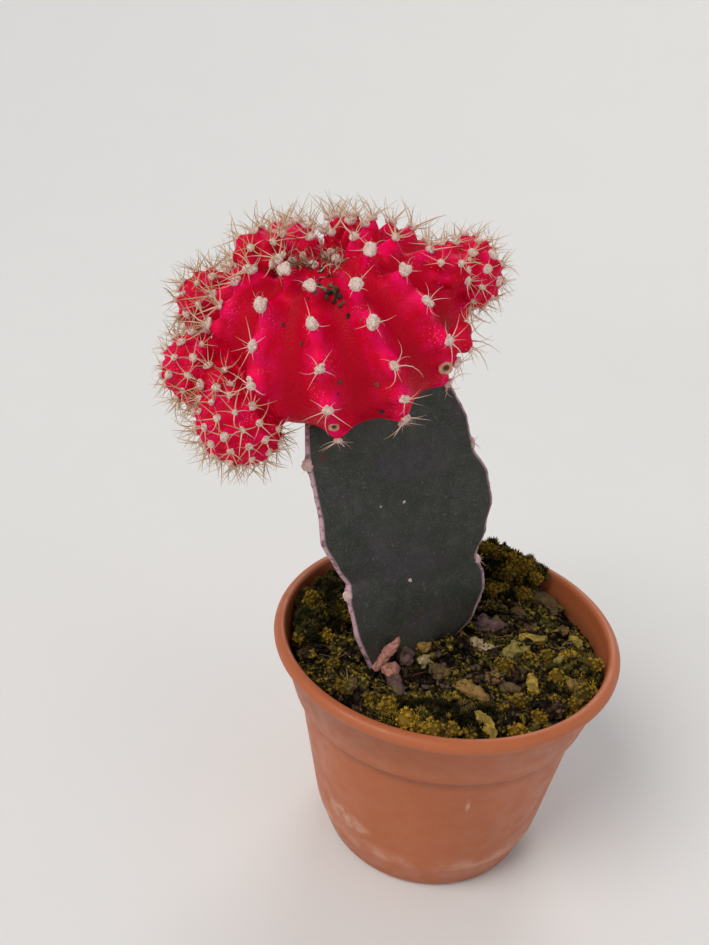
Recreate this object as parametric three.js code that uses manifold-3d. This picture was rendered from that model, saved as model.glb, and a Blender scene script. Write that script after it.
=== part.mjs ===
// Potted moon cactus: a red grafted head with offsets on a three-winged green stem,
// in a round plastic nursery pot filled with mossy potting mix.
// Millimetres, +Z up. The origin is the centre of the pot's base, on the surface it stands on.
// The front of the object, where the head leans to the left, faces -Y.

import * as THREE from 'three';
import { mergeVertices } from 'three/addons/utils/BufferGeometryUtils.js';
import Module from 'manifold-3d';

const wasm = await Module();
wasm.setup();

// Driving dimensions of the pot
const POT_RIM_RADIUS = 30;
const POT_HEIGHT = 44;
const POT_WALL = 1.0;
const LIP_WIDTH = 2.0;
const LIP_DEPTH = 2.4;
const COLLAR_TOP_RADIUS = 28.8;
const COLLAR_FOOT_RADIUS = 26.3;
const COLLAR_FOOT_Z = 32.5;
const BODY_TOP_RADIUS = 25.2;
const BODY_TOP_Z = 31.2;
const SHOULDER_RADIUS = 21.3;
const SHOULDER_Z = 7.5;
const FOOT_RADIUS = 19;
const POT_SEGMENTS = 36;

// Underside of the pot: a flat pad, a raised channel with the drain holes, and the foot ring
const PAD_RADIUS = 9;
const CHANNEL_INNER_RADIUS = 9.8;
const CHANNEL_OUTER_RADIUS = 14.2;
const FOOT_RING_INNER_RADIUS = 15;
const FOOT_RING_OUTER_RADIUS = 18.2;
const CHANNEL_RISE = 1.2;
const FLOOR_SLOPE = 0.6;
const DRAIN_HOLES = 6;
const DRAIN_HOLE_RADIUS = 2;
const DRAIN_RING_RADIUS = 12;

// Potting mix and what lies on it
const CLEARANCE = 0.3;
const WALL_GAP = 0.35;
const SOIL_LEVEL = 40.2;
const SOIL_EDGE_DROP = 0.9;
const SOIL_ROUGHNESS = 1.3;
const SOIL_RINGS = 8;
const SOIL_SEED = 7;
const MOSS_COLUMNS = 16;
const MOSS_DOME = 2.4;
// A mound round the stem, a rise at the back under the moss, and a dip at the right
const SOIL_HUMPS = [
  { x: -5.5, y: -0.5, spread: 7, rise: 1.9 },
  { x: 11, y: 20, spread: 6, rise: 1.6 },
  { x: 23, y: 9, spread: 5, rise: -0.8 },
];

// Axis of the rootstock, through the soil surface and through the graft
const STOCK_BASE = new THREE.Vector3(-4.5, 1.5, 38);
const STOCK_TOP = new THREE.Vector3(-19.9, 3.1, 88.6);
const STOCK_FOOT_Z = 23;
const STOCK_END_Z = 96;
const STOCK_ROWS = 19;
const WING_ANGLES = [-120, 0, 120];
const WING_EDGE_HALF = 0.95;
// Reach of each wing's edge from the axis, at heights of the axis: swellings between notched nodes
const WING_REACH = [
  [[22, 4], [30, 10], [37, 14.6], [42, 13.9], [50, 15.2], [56, 14.8], [58.8, 13.7],
    [63, 15.4], [67.8, 16.8], [71.5, 15.7], [79.7, 14.9], [88.6, 11.9], [98, 9]],
  [[22, 3], [30, 4.8], [38, 6.9], [42, 11.1], [47, 13.8], [50, 14.2], [52.7, 13.2],
    [57.5, 16], [63, 18.1], [67.8, 18.2], [72.4, 16.4], [77, 16.7], [84, 15], [98, 15.8]],
  [[22, 3], [30, 8], [38, 12], [44, 13.6], [48, 12.9], [54, 15.2], [60, 16.2],
    [65.5, 14.4], [71, 15.9], [79, 16], [88.6, 14], [98, 12]],
];
// Reach of the hollow faces between the wings
const FACE_REACH = [[22, 2.6], [34, 5.2], [44, 6.6], [60, 7.6], [74, 7.8], [88.6, 7.4], [98, 7]];
const STOCK_AREOLES = [[58.8, 80], [52.7, 72.4], [48, 65.5]];
const STOCK_AREOLE_RADIUS = 1.15;

// Red head: a flattened ribbed globe, tilted towards the front and the left
const HEAD_CENTRE = new THREE.Vector3(-21.5, 0, 96.9);
const HEAD_RADIUS = 18.9;
const HEAD_HALF_HEIGHT = 13.8;
const HEAD_LEAN = new THREE.Vector3(-0.192, -0.372, 1);
const GRAFT_DEPTH = 9;
const RIB_COUNT = 10;
const FIRST_RIB = -172;
const RIB_DEPTH = 2.0;
const UNDERSIDE_DEPTH = 0.3;
const CREST_SINK = 0.8;
const TUBERCLE_RISE = 1.25;
const TUBERCLE_SPAN = 8;
const APEX_SINK = 2.2;
const HEAD_COLUMNS_PER_RIB = 4;
const HEAD_ROWS = 19;
// Latitudes of the areoles down one rib, from the apex to the underside
const AREOLE_LATITUDES = [66, 47, 27, 5, -17, -34];
const AREOLE_JITTER = 4;
const HEAD_SEED = 21;

// Offsets on the head: direction round the head and up it, radius, and how far out their centres are
const OFFSETS = [
  { azimuth: -141, latitude: -21, radius: 6.3, stand: 2.6 },
  { azimuth: -168, latitude: -6, radius: 5.3, stand: 3.1 },
  { azimuth: 164, latitude: 9, radius: 4.9, stand: 1.5 },
  { azimuth: 175, latitude: 62, radius: 3.3, stand: 0.6 },
  { azimuth: 75, latitude: 52, radius: 2.6, stand: -0.6 },
  { azimuth: 14, latitude: 9, radius: 5.1, stand: 2 },
  { azimuth: 112, latitude: 4, radius: 4.8, stand: 1.8 },
];
const OFFSET_RIBS = 8;
const OFFSET_COLUMNS_PER_RIB = 2;
const OFFSET_ROWS = 7;

// Felt pads, spines and scars
const PAD_SIZE = 1.15;
const LOW_PAD_SIZE = 0.9;
const PAD_RISE = 0.6;
const PAD_SINK = 1.0;
const SPINE_ROOT = 0.2;
const SPINE_SINK = 0.8;
const SPINES_PER_AREOLE = 3;
const HEAD_SPINE_LENGTH = 2.6;
const CROWN_SPINE_LENGTH = 3.1;
const HEAD_SPINE_LEAN = 50;
const OFFSET_SPINE_LENGTH = 2.3;
const SPINE_SPACING = 0.5;
// Where two offsets have been taken off: direction round the head and up it
const SCARS = [{ azimuth: -20, latitude: -14 }, { azimuth: -97, latitude: -28 }];

const UP = new THREE.Vector3(0, 0, 1);
const FORWARD = new THREE.Vector3(0, 1, 0);
const radians = THREE.MathUtils.degToRad;

// Seeded random numbers, the same on every run
function seededRandom(seed) {
  let state = seed >>> 0;
  return () => {
    state = (state + 0x6d2b79f5) >>> 0;
    let mixed = Math.imul(state ^ (state >>> 15), 1 | state);
    mixed = (mixed + Math.imul(mixed ^ (mixed >>> 7), 61 | mixed)) ^ mixed;
    return ((mixed ^ (mixed >>> 14)) >>> 0) / 4294967296;
  };
}

// Smooth value noise over a plane, from -1 to 1
function planeNoise(x, y, seed) {
  const cellX = Math.floor(x);
  const cellY = Math.floor(y);
  const corner = (i, j) => seededRandom(seed * 7919 + (cellX + i) * 131 + (cellY + j) * 35317)() * 2 - 1;
  const blendX = THREE.MathUtils.smoothstep(x - cellX, 0, 1);
  const blendY = THREE.MathUtils.smoothstep(y - cellY, 0, 1);
  const low = THREE.MathUtils.lerp(corner(0, 0), corner(1, 0), blendX);
  const high = THREE.MathUtils.lerp(corner(0, 1), corner(1, 1), blendX);
  return THREE.MathUtils.lerp(low, high, blendY);
}

// Straight-line reading of a list of [position, value] pairs, eased at the pairs
function readCurve(pairs, position) {
  let index = 1;
  while (index < pairs.length - 1 && position > pairs[index][0]) index += 1;
  const [startAt, startValue] = pairs[index - 1];
  const [endAt, endValue] = pairs[index];
  const part = THREE.MathUtils.clamp((position - startAt) / (endAt - startAt), 0, 1);
  const eased = 0.5 * part + 0.5 * THREE.MathUtils.smoothstep(part, 0, 1);
  return THREE.MathUtils.lerp(startValue, endValue, eased);
}

// Closed mesh of position-only, merged vertices, as a solid for joining and cutting
function toSolid(geometry) {
  const bare = geometry.clone();
  bare.deleteAttribute('normal');
  bare.deleteAttribute('uv');
  const merged = mergeVertices(bare, 1e-5);
  return new wasm.Manifold(new wasm.Mesh({
    numProp: 3,
    vertProperties: new Float32Array(merged.attributes.position.array),
    triVerts: new Uint32Array(merged.index.array),
  }));
}

function toGeometry(solid) {
  const mesh = solid.getMesh();
  const geometry = new THREE.BufferGeometry();
  geometry.setAttribute('position', new THREE.BufferAttribute(new Float32Array(mesh.vertProperties), 3));
  geometry.setIndex(new THREE.BufferAttribute(new Uint32Array(mesh.triVerts), 1));
  geometry.computeVertexNormals();
  return geometry;
}

// The largest body of a solid, without the loose scraps that a cut can leave
function largestBody(solid) {
  return solid.decompose().reduce((best, part) => (part.volume() > best.volume() ? part : best));
}

function joinAll(solids) {
  let joined = solids;
  while (joined.length > 1) {
    const pairs = [];
    for (let i = 0; i < joined.length; i += 2) {
      pairs.push(i + 1 < joined.length ? joined[i].add(joined[i + 1]) : joined[i]);
    }
    joined = pairs;
  }
  return joined[0];
}

// Closed skin over rings of points, each ring a closed loop, with a point at either end
function ringSkin(rings, startPoint, endPoint) {
  const width = rings[0].length;
  const start = rings.length * width;
  const end = start + 1;
  const faces = [];
  for (let column = 0; column < width; column += 1) {
    const next = (column + 1) % width;
    faces.push([start, next, column]);
    for (let row = 0; row < rings.length - 1; row += 1) {
      const a = row * width + column;
      const b = row * width + next;
      const c = a + width;
      const d = b + width;
      if ((row + column) % 2 === 0) {
        faces.push([a, b, d], [a, d, c]);
      } else {
        faces.push([a, b, c], [b, d, c]);
      }
    }
    const last = (rings.length - 1) * width;
    faces.push([end, last + column, last + next]);
  }
  return { points: [...rings.flat(), startPoint, endPoint], faces };
}

function skinSolid({ points, faces }) {
  return new wasm.Manifold(new wasm.Mesh({
    numProp: 3,
    vertProperties: new Float32Array(points.flatMap((point) => point.toArray())),
    triVerts: new Uint32Array(faces.flat()),
  }));
}

// Lathe about +Z from a profile of [radius, z] pairs that closes on the axis or on itself
function lathe(profile, segments) {
  const points = profile.map(([radius, z]) => new THREE.Vector2(radius, z));
  const geometry = new THREE.LatheGeometry(points, segments);
  geometry.rotateX(Math.PI / 2);
  return toSolid(geometry);
}

// Round arc of a profile, from one angle to another
function arc(centreRadius, centreZ, radius, fromDegrees, toDegrees, steps) {
  return Array.from({ length: steps + 1 }, (_, step) => {
    const angle = radians(THREE.MathUtils.lerp(fromDegrees, toDegrees, step / steps));
    return [centreRadius + radius * Math.cos(angle), centreZ + radius * Math.sin(angle)];
  });
}

// Inside of the pot's wall, from the edge of the floor to the mouth
function innerWall() {
  return [
    [FOOT_RADIUS - 1.5, POT_WALL],
    [SHOULDER_RADIUS - POT_WALL, SHOULDER_Z + 0.3],
    [BODY_TOP_RADIUS - POT_WALL, BODY_TOP_Z],
    [COLLAR_FOOT_RADIUS - POT_WALL, COLLAR_FOOT_Z],
    [COLLAR_TOP_RADIUS - POT_WALL, POT_HEIGHT - LIP_DEPTH],
  ];
}

// Inner floor of the pot, from the axis outwards, over the raised channel
function innerFloor() {
  return [
    [0, POT_WALL],
    [PAD_RADIUS - FLOOR_SLOPE, POT_WALL],
    [CHANNEL_INNER_RADIUS - FLOOR_SLOPE, POT_WALL + CHANNEL_RISE],
    [CHANNEL_OUTER_RADIUS + FLOOR_SLOPE, POT_WALL + CHANNEL_RISE],
    [FOOT_RING_INNER_RADIUS + FLOOR_SLOPE, POT_WALL],
  ];
}

function makePot() {
  const lipRadius = LIP_DEPTH / 2;
  const lipZ = POT_HEIGHT - lipRadius;
  const outline = [
    [0, 0],
    [PAD_RADIUS, 0],
    [CHANNEL_INNER_RADIUS, CHANNEL_RISE],
    [CHANNEL_OUTER_RADIUS, CHANNEL_RISE],
    [FOOT_RING_INNER_RADIUS, 0],
    [FOOT_RING_OUTER_RADIUS, 0],
    [FOOT_RADIUS, 0.9],
    [SHOULDER_RADIUS, SHOULDER_Z],
    [BODY_TOP_RADIUS, BODY_TOP_Z],
    [COLLAR_FOOT_RADIUS, COLLAR_FOOT_Z],
    ...arc(COLLAR_TOP_RADIUS, lipZ, lipRadius, -90, 90, 4),
    [POT_RIM_RADIUS - LIP_WIDTH + 0.4, POT_HEIGHT],
    [POT_RIM_RADIUS - LIP_WIDTH, POT_HEIGHT - 0.5],
    ...innerWall().reverse(),
    ...innerFloor().reverse(),
  ];
  let pot = lathe(outline, POT_SEGMENTS);
  for (let hole = 0; hole < DRAIN_HOLES; hole += 1) {
    const angle = (hole + 0.5) * 2 * Math.PI / DRAIN_HOLES;
    const cutter = new THREE.CylinderGeometry(DRAIN_HOLE_RADIUS, DRAIN_HOLE_RADIUS, 6, 12);
    cutter.rotateX(Math.PI / 2);
    cutter.translate(DRAIN_RING_RADIUS * Math.cos(angle), DRAIN_RING_RADIUS * Math.sin(angle), POT_WALL);
    pot = pot.subtract(toSolid(cutter));
  }
  return pot;
}

// Radius of the filling at a height, clear of the pot's inner wall
function fillRadius(z) {
  const wall = innerWall().map(([radius, height]) => [height, radius]);
  let index = 1;
  while (index < wall.length - 1 && z > wall[index][0]) index += 1;
  const [lowZ, lowRadius] = wall[index - 1];
  const [highZ, highRadius] = wall[index];
  return THREE.MathUtils.mapLinear(z, lowZ, highZ, lowRadius, highRadius) - WALL_GAP;
}

// Height of the potting mix: its level, its humps, and lumps of two sizes
function soilHeight(x, y) {
  const humps = SOIL_HUMPS.reduce((sum, hump) => {
    const distance = Math.hypot(x - hump.x, y - hump.y);
    return sum + hump.rise * Math.exp(-0.5 * (distance / hump.spread) ** 2);
  }, 0);
  const coarse = planeNoise(x / 5, y / 5, SOIL_SEED);
  const fine = planeNoise(x / 2.3 + 40, y / 2.3, SOIL_SEED + 1);
  return SOIL_LEVEL + humps + SOIL_ROUGHNESS * (0.6 * coarse + 0.4 * fine);
}

// Underside and side of the filling, clear of the pot's floor and wall
function soilProfile() {
  const floor = innerFloor().map(([radius, z]) => [radius, z + WALL_GAP]);
  const levels = [POT_WALL + WALL_GAP + 0.1, SHOULDER_Z, BODY_TOP_Z, COLLAR_FOOT_Z, SOIL_LEVEL - 2];
  return [...floor, ...levels.map((z) => [fillRadius(z), z])];
}

// The filling as one body with a lumpy top, on the pot's own segments so the gap is even
function makeSoil(stockPocket) {
  const rings = [];
  const ring = (radius, height) => Array.from({ length: POT_SEGMENTS }, (_, column) => {
    const angle = 2 * Math.PI * column / POT_SEGMENTS;
    const x = radius * Math.cos(angle);
    const y = radius * Math.sin(angle);
    return new THREE.Vector3(x, y, typeof height === 'number' ? height : height(x, y));
  });
  const profile = soilProfile();
  profile.slice(1).forEach(([radius, z]) => rings.push(ring(radius, z)));
  const topRadius = fillRadius(SOIL_LEVEL);
  rings.push(ring(topRadius, SOIL_LEVEL - SOIL_EDGE_DROP));
  for (let step = 0; step < SOIL_RINGS; step += 1) {
    const radius = topRadius * (1 - (step + 0.35) / SOIL_RINGS);
    rings.push(ring(radius, soilHeight));
  }
  const bottom = new THREE.Vector3(0, 0, profile[0][1]);
  const top = new THREE.Vector3(0, 0, soilHeight(0, 0));
  return skinSolid(ringSkin(rings, bottom, top)).subtract(stockPocket);
}

// Axes of the rootstock: along it, and two across it
const stockAlong = STOCK_TOP.clone().sub(STOCK_BASE).normalize();
const stockAcross = new THREE.Vector3().crossVectors(FORWARD, stockAlong).normalize();
const stockDeep = new THREE.Vector3().crossVectors(stockAlong, stockAcross);

function stockPoint(z, angle, reach) {
  const centre = STOCK_BASE.clone().addScaledVector(stockAlong, (z - STOCK_BASE.z) / stockAlong.z);
  centre.addScaledVector(stockAcross, reach * Math.cos(angle));
  return centre.addScaledVector(stockDeep, reach * Math.sin(angle));
}

// Outline of the stem at one height: three thin-edged wings with hollow faces between them
function stockSection(z, grow) {
  const face = readCurve(FACE_REACH, z) + grow;
  const half = WING_EDGE_HALF + grow;
  const points = [];
  WING_ANGLES.forEach((degrees, wing) => {
    const angle = radians(degrees);
    const nextWing = (wing + 1) % WING_ANGLES.length;
    const nextAngle = radians(degrees + 120);
    const reach = readCurve(WING_REACH[wing], z) + grow;
    const nextReach = readCurve(WING_REACH[nextWing], z) + grow;
    const across = (radius, offset, wingAngle) => stockPoint(
      z,
      wingAngle + Math.atan2(offset, radius),
      Math.hypot(radius, offset),
    );
    points.push(across(reach, 0, angle));
    const leave = across(reach - half * 0.7, half, angle);
    const arrive = across(nextReach - half * 0.7, -half, nextAngle);
    points.push(leave);
    const pull = stockPoint(z, angle + radians(60), face).multiplyScalar(2);
    pull.addScaledVector(leave, -0.5).addScaledVector(arrive, -0.5);
    const flank = new THREE.QuadraticBezierCurve3(leave, pull, arrive);
    for (let step = 1; step <= 4; step += 1) points.push(flank.getPoint(step / 5));
    points.push(arrive);
  });
  return points;
}

// Axes of the head: its own up, and two across it
const headUp = HEAD_LEAN.clone().normalize();
const headAcross = new THREE.Vector3().crossVectors(FORWARD, headUp).normalize();
const headDeep = new THREE.Vector3().crossVectors(headUp, headAcross);

// Everything above the graft's plane, to cut the stem off flat
function aboveGraft(lift) {
  const block = new THREE.BoxGeometry(90, 90, 40);
  block.translate(0, 0, 20);
  block.applyQuaternion(new THREE.Quaternion().setFromUnitVectors(UP, headUp));
  const seat = HEAD_CENTRE.clone().addScaledVector(headUp, lift - GRAFT_DEPTH);
  block.translate(seat.x, seat.y, seat.z);
  return toSolid(block);
}

function makeStock(grow) {
  const rings = [];
  for (let row = 0; row <= STOCK_ROWS; row += 1) {
    rings.push(stockSection(THREE.MathUtils.lerp(STOCK_FOOT_Z, STOCK_END_Z, row / STOCK_ROWS), grow));
  }
  const foot = stockPoint(STOCK_FOOT_Z - 1 - grow, 0, 0);
  const stem = skinSolid(ringSkin(rings, foot, stockPoint(STOCK_END_Z + 0.5, 0, 0)));
  const bumps = [];
  STOCK_AREOLES.forEach((heights, wing) => heights.forEach((z) => {
    const reach = readCurve(WING_REACH[wing], z) - 0.2;
    const centre = stockPoint(z, radians(WING_ANGLES[wing]), reach);
    const bump = new THREE.SphereGeometry(STOCK_AREOLE_RADIUS + grow, 8, 6);
    bump.translate(centre.x, centre.y, centre.z);
    bumps.push(toSolid(bump));
  }));
  return joinAll([stem, ...bumps]).subtract(aboveGraft(grow));
}

// A globe to grow things on: centre, its own up and across, radius and half height
function globeFrame(centre, up, across, radius, halfHeight) {
  return { centre, up, across, deep: new THREE.Vector3().crossVectors(up, across), radius, halfHeight };
}

function globePoint(globe, azimuth, latitude, rise) {
  const level = Math.cos(latitude);
  const place = (radius, halfHeight) => new THREE.Vector3()
    .addScaledVector(globe.across, radius * level * Math.cos(azimuth))
    .addScaledVector(globe.deep, radius * level * Math.sin(azimuth))
    .addScaledVector(globe.up, halfHeight * Math.sin(latitude));
  const normal = place(1 / globe.radius, 1 / globe.halfHeight).normalize();
  const point = place(globe.radius, globe.halfHeight).add(globe.centre).addScaledVector(normal, rise);
  return { point, normal };
}

// How far the skin stands above the ellipsoid: ribs, tubercles under the areoles, a sunken apex
function ribRise(globe, azimuth, latitude) {
  const { ribs } = globe;
  const turn = (azimuth - ribs.first) / (2 * Math.PI) * ribs.count;
  const rib = ((Math.round(turn) % ribs.count) + ribs.count) % ribs.count;
  const offCrest = turn - Math.round(turn);
  const crest = (0.5 + 0.5 * Math.cos(2 * Math.PI * offCrest)) ** 1.25;
  const fade = Math.cos(latitude) ** 0.5;
  const under = THREE.MathUtils.smoothstep(-latitude, -0.1, 0.5);
  const depth = ribs.depth * THREE.MathUtils.lerp(1, ribs.undersideDepth, under);
  let rise = -ribs.crestSink - depth * (1 - crest) * fade;
  ribs.areoles[rib].forEach(({ latitude: at, size }) => {
    const along = (latitude - at) / radians(ribs.bumpSpan);
    rise += ribs.tubercle * size * crest ** 2.2 * Math.exp(-along * along);
  });
  const apex = Math.max(0, (latitude - radians(72)) / radians(18));
  return rise - ribs.apexSink * apex * apex;
}

function globeSkin(globe, columns, rows) {
  const rings = [];
  for (let row = 1; row < rows; row += 1) {
    const latitude = Math.PI * (row / rows - 0.5);
    rings.push(Array.from({ length: columns }, (_, column) => {
      const azimuth = globe.ribs.first + 2 * Math.PI * column / columns;
      return globePoint(globe, azimuth, latitude, ribRise(globe, azimuth, latitude)).point;
    }));
  }
  const bottom = globePoint(globe, 0, -Math.PI / 2, 0).point;
  const top = globePoint(globe, 0, Math.PI / 2, ribRise(globe, 0, Math.PI / 2)).point;
  return ringSkin(rings, bottom, top);
}

// Grows a spine out of one face of a skin: a smaller triangle in the face, drawn out to a tip
function growSpine(skin, faceIndex, direction, length) {
  const corners = skin.faces[faceIndex];
  const [first, second, third] = corners.map((index) => skin.points[index]);
  const middle = first.clone().add(second).add(third).divideScalar(3);
  const size = Math.sqrt(new THREE.Triangle(first, second, third).getArea());
  const shrink = Math.min(0.3, SPINE_ROOT * 1.3 / size);
  const root = corners.map((index) => {
    skin.points.push(middle.clone().lerp(skin.points[index], shrink));
    return skin.points.length - 1;
  });
  skin.points.push(middle.clone().addScaledVector(direction, length));
  const tip = skin.points.length - 1;
  const grown = [];
  for (let side = 0; side < 3; side += 1) {
    const next = (side + 1) % 3;
    grown.push([corners[side], corners[next], root[next]]);
    grown.push([corners[side], root[next], root[side]]);
    grown.push([root[side], root[next], tip]);
  }
  skin.faces.splice(faceIndex, 1, ...grown);
}

// The faces of a skin round one point, in the order they are met going round it
function facesRound(skin, point, normal) {
  const seat = skin.points.reduce((best, candidate, index) => (
    candidate.distanceTo(point) < skin.points[best].distanceTo(point) ? index : best), 0);
  const side = new THREE.Vector3().crossVectors(normal, headAcross).normalize();
  const other = new THREE.Vector3().crossVectors(normal, side);
  return skin.faces.filter((face) => face.includes(seat)).map((face) => {
    const away = face.reduce((sum, index) => sum.add(skin.points[index]), new THREE.Vector3())
      .divideScalar(3).sub(skin.points[seat]);
    return { face, away, angle: Math.atan2(away.dot(other), away.dot(side)) };
  }).sort((one, two) => one.angle - two.angle);
}

// Felt pad of an areole: a low five-sided button with its root sunk into the skin
function padSolid(point, normal, radius) {
  const height = PAD_RISE + PAD_SINK;
  const button = new THREE.CylinderGeometry(radius * 0.85, radius * 1.05, height, 5);
  button.rotateX(Math.PI / 2);
  button.translate(0, 0, PAD_RISE - height / 2);
  button.applyQuaternion(new THREE.Quaternion().setFromUnitVectors(UP, normal));
  button.translate(point.x, point.y, point.z);
  return toSolid(button);
}

// Corky ring scar where an offset has been taken off: a low button with a dished middle
function scarSolid(point, normal) {
  const profile = [[0, -1], [1.5, -1], [1.7, 0.3], [1.2, 0.8], [0.7, 0.7], [0.4, 0.25], [0, 0.2]];
  const geometry = new THREE.LatheGeometry(profile.map(([x, z]) => new THREE.Vector2(x, z)), 9);
  geometry.rotateX(Math.PI / 2);
  geometry.applyQuaternion(new THREE.Quaternion().setFromUnitVectors(UP, normal));
  geometry.translate(point.x, point.y, point.z);
  return toSolid(geometry);
}

// Three-sided spine from its sunk root to its tip
function spineSolid(root, direction, length) {
  const spine = new THREE.ConeGeometry(SPINE_ROOT, length + SPINE_SINK, 3, 1);
  spine.rotateX(Math.PI / 2);
  spine.translate(0, 0, (length + SPINE_SINK) / 2 - SPINE_SINK);
  spine.applyQuaternion(new THREE.Quaternion().setFromUnitVectors(UP, direction));
  spine.translate(root.x, root.y, root.z);
  return toSolid(spine);
}

// Spines spread round an areole like a star, leaning out from its normal
function spineStar(point, normal, footing, length, random) {
  const side = new THREE.Vector3().crossVectors(normal, UP);
  if (side.lengthSq() < 0.01) side.copy(headAcross);
  side.normalize();
  const other = new THREE.Vector3().crossVectors(normal, side);
  const start = random() * 2 * Math.PI;
  return Array.from({ length: SPINES_PER_AREOLE }, (_, index) => {
    const angle = start + 2 * Math.PI * (index + 0.35 * (random() - 0.5)) / SPINES_PER_AREOLE;
    const spread = radians(HEAD_SPINE_LEAN + 16 * (random() - 0.5));
    const direction = normal.clone().multiplyScalar(Math.cos(spread))
      .addScaledVector(side, Math.sin(spread) * Math.cos(angle))
      .addScaledVector(other, Math.sin(spread) * Math.sin(angle));
    const root = point.clone()
      .addScaledVector(side, footing * Math.cos(angle))
      .addScaledVector(other, footing * Math.sin(angle));
    return spineSolid(root, direction.normalize(), length * (0.8 + 0.4 * random()));
  });
}

function headGlobe(random) {
  const globe = globeFrame(HEAD_CENTRE, headUp, headAcross, HEAD_RADIUS, HEAD_HALF_HEIGHT);
  const areoles = Array.from({ length: RIB_COUNT }, () => AREOLE_LATITUDES.map((latitude) => ({
    latitude: radians(latitude + AREOLE_JITTER * (random() - 0.5)),
    size: 0.8 + 0.4 * random(),
  })));
  globe.ribs = {
    count: RIB_COUNT,
    first: radians(FIRST_RIB),
    depth: RIB_DEPTH,
    undersideDepth: UNDERSIDE_DEPTH,
    crestSink: CREST_SINK,
    tubercle: TUBERCLE_RISE,
    bumpSpan: TUBERCLE_SPAN,
    apexSink: APEX_SINK,
    areoles,
  };
  return globe;
}

function offsetGlobe(head, offset, random) {
  const { point, normal } = globePoint(head, radians(offset.azimuth), radians(offset.latitude), 0);
  const centre = point.addScaledVector(normal, offset.stand);
  const across = new THREE.Vector3().crossVectors(FORWARD, normal);
  if (across.lengthSq() < 0.05) across.crossVectors(headAcross, normal);
  const globe = globeFrame(centre, normal, across.normalize(), offset.radius, offset.radius * 0.92);
  globe.ribs = {
    count: OFFSET_RIBS,
    first: random() * Math.PI,
    depth: offset.radius * 0.13,
    undersideDepth: 1,
    crestSink: offset.radius * 0.05,
    tubercle: offset.radius * 0.11,
    bumpSpan: 12,
    apexSink: offset.radius * 0.1,
    areoles: Array.from({ length: OFFSET_RIBS }, (_, rib) => [62, 28, -6].map((latitude) => ({
      latitude: radians(latitude + (rib % 2) * 14),
      size: 0.9 + 0.2 * random(),
    }))),
  };
  return globe;
}

// Is this place on an offset inside the head, or too close to it to carry spines?
function insideHead(point, head) {
  const outside = point.clone().sub(head.centre);
  const level = Math.hypot(outside.dot(head.across), outside.dot(head.deep)) / head.radius;
  return Math.hypot(level, outside.dot(head.up) / head.halfHeight) < 1.04;
}

// Do two spines come closer to each other than their spacing?
function linesNear(one, other) {
  const closest = new THREE.Vector3();
  return [0, 0.25, 0.5, 0.75, 1].some((part) => {
    const sample = one.at(part, new THREE.Vector3());
    other.closestPointToPoint(sample, true, closest);
    return sample.distanceTo(closest) < SPINE_SPACING;
  });
}

// Is this place hidden under an offset?
function underOffset(point, offsetGlobes) {
  return offsetGlobes.some((globe) => point.distanceTo(globe.centre) < globe.radius * 1.08);
}

function makeScion(stockSeat) {
  const random = seededRandom(HEAD_SEED);
  const head = headGlobe(random);
  const offsets = OFFSETS.map((offset) => offsetGlobe(head, offset, random));
  const bodies = [skinSolid(globeSkin(head, RIB_COUNT * HEAD_COLUMNS_PER_RIB, HEAD_ROWS))];
  const dressings = [];
  const spines = [];

  head.ribs.areoles.forEach((row, rib) => row.forEach(({ latitude, size }, place) => {
    const azimuth = head.ribs.first + 2 * Math.PI * rib / RIB_COUNT + radians(3 * (random() - 0.5));
    const { point, normal } = globePoint(head, azimuth, latitude, ribRise(head, azimuth, latitude));
    if (underOffset(point, offsets)) return;
    const padRadius = (place >= 4 ? LOW_PAD_SIZE : PAD_SIZE) * size;
    dressings.push(padSolid(point, normal, padRadius));
    const top = point.clone().addScaledVector(normal, PAD_RISE);
    const onCrown = place === 0 && Math.sin(azimuth) > 0.2;
    const length = onCrown ? CROWN_SPINE_LENGTH : HEAD_SPINE_LENGTH;
    spines.push(...spineStar(top, normal, padRadius * 0.4, length, random));
  }));

  offsets.forEach((globe) => {
    const skin = globeSkin(globe, OFFSET_RIBS * OFFSET_COLUMNS_PER_RIB, OFFSET_ROWS);
    const others = offsets.filter((other) => other !== globe);
    const grown = [];
    globe.ribs.areoles.forEach((row, rib) => row.forEach(({ latitude }) => {
      const azimuth = globe.ribs.first + 2 * Math.PI * rib / OFFSET_RIBS;
      const { point, normal } = globePoint(globe, azimuth, latitude, ribRise(globe, azimuth, latitude));
      if (insideHead(point, head) || underOffset(point, others)) return;
      const around = facesRound(skin, point, normal);
      const step = Math.max(1, Math.floor(around.length / SPINES_PER_AREOLE));
      const chosen = around.filter((_, index) => index % step === 0).slice(0, SPINES_PER_AREOLE);
      chosen.forEach(({ face, away }) => {
        const direction = away.clone().normalize().multiplyScalar(0.75).add(normal).normalize();
        const length = OFFSET_SPINE_LENGTH * (0.8 + 0.4 * random());
        const root = point.clone().add(away);
        const tip = root.clone().addScaledVector(direction, length);
        const line = new THREE.Line3(root, tip);
        if (grown.some((other) => linesNear(line, other))) return;
        grown.push(line);
        growSpine(skin, skin.faces.indexOf(face), direction, length);
      });
    }));
    bodies.push(skinSolid(skin));
  });

  SCARS.forEach((scar) => {
    const azimuth = radians(scar.azimuth);
    const latitude = radians(scar.latitude);
    const { point, normal } = globePoint(head, azimuth, latitude, ribRise(head, azimuth, latitude));
    dressings.push(scarSolid(point, normal));
  });
  const fleshy = joinAll([...bodies, ...dressings, ...spines]);
  return largestBody(fleshy.subtract(stockSeat));
}

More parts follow.
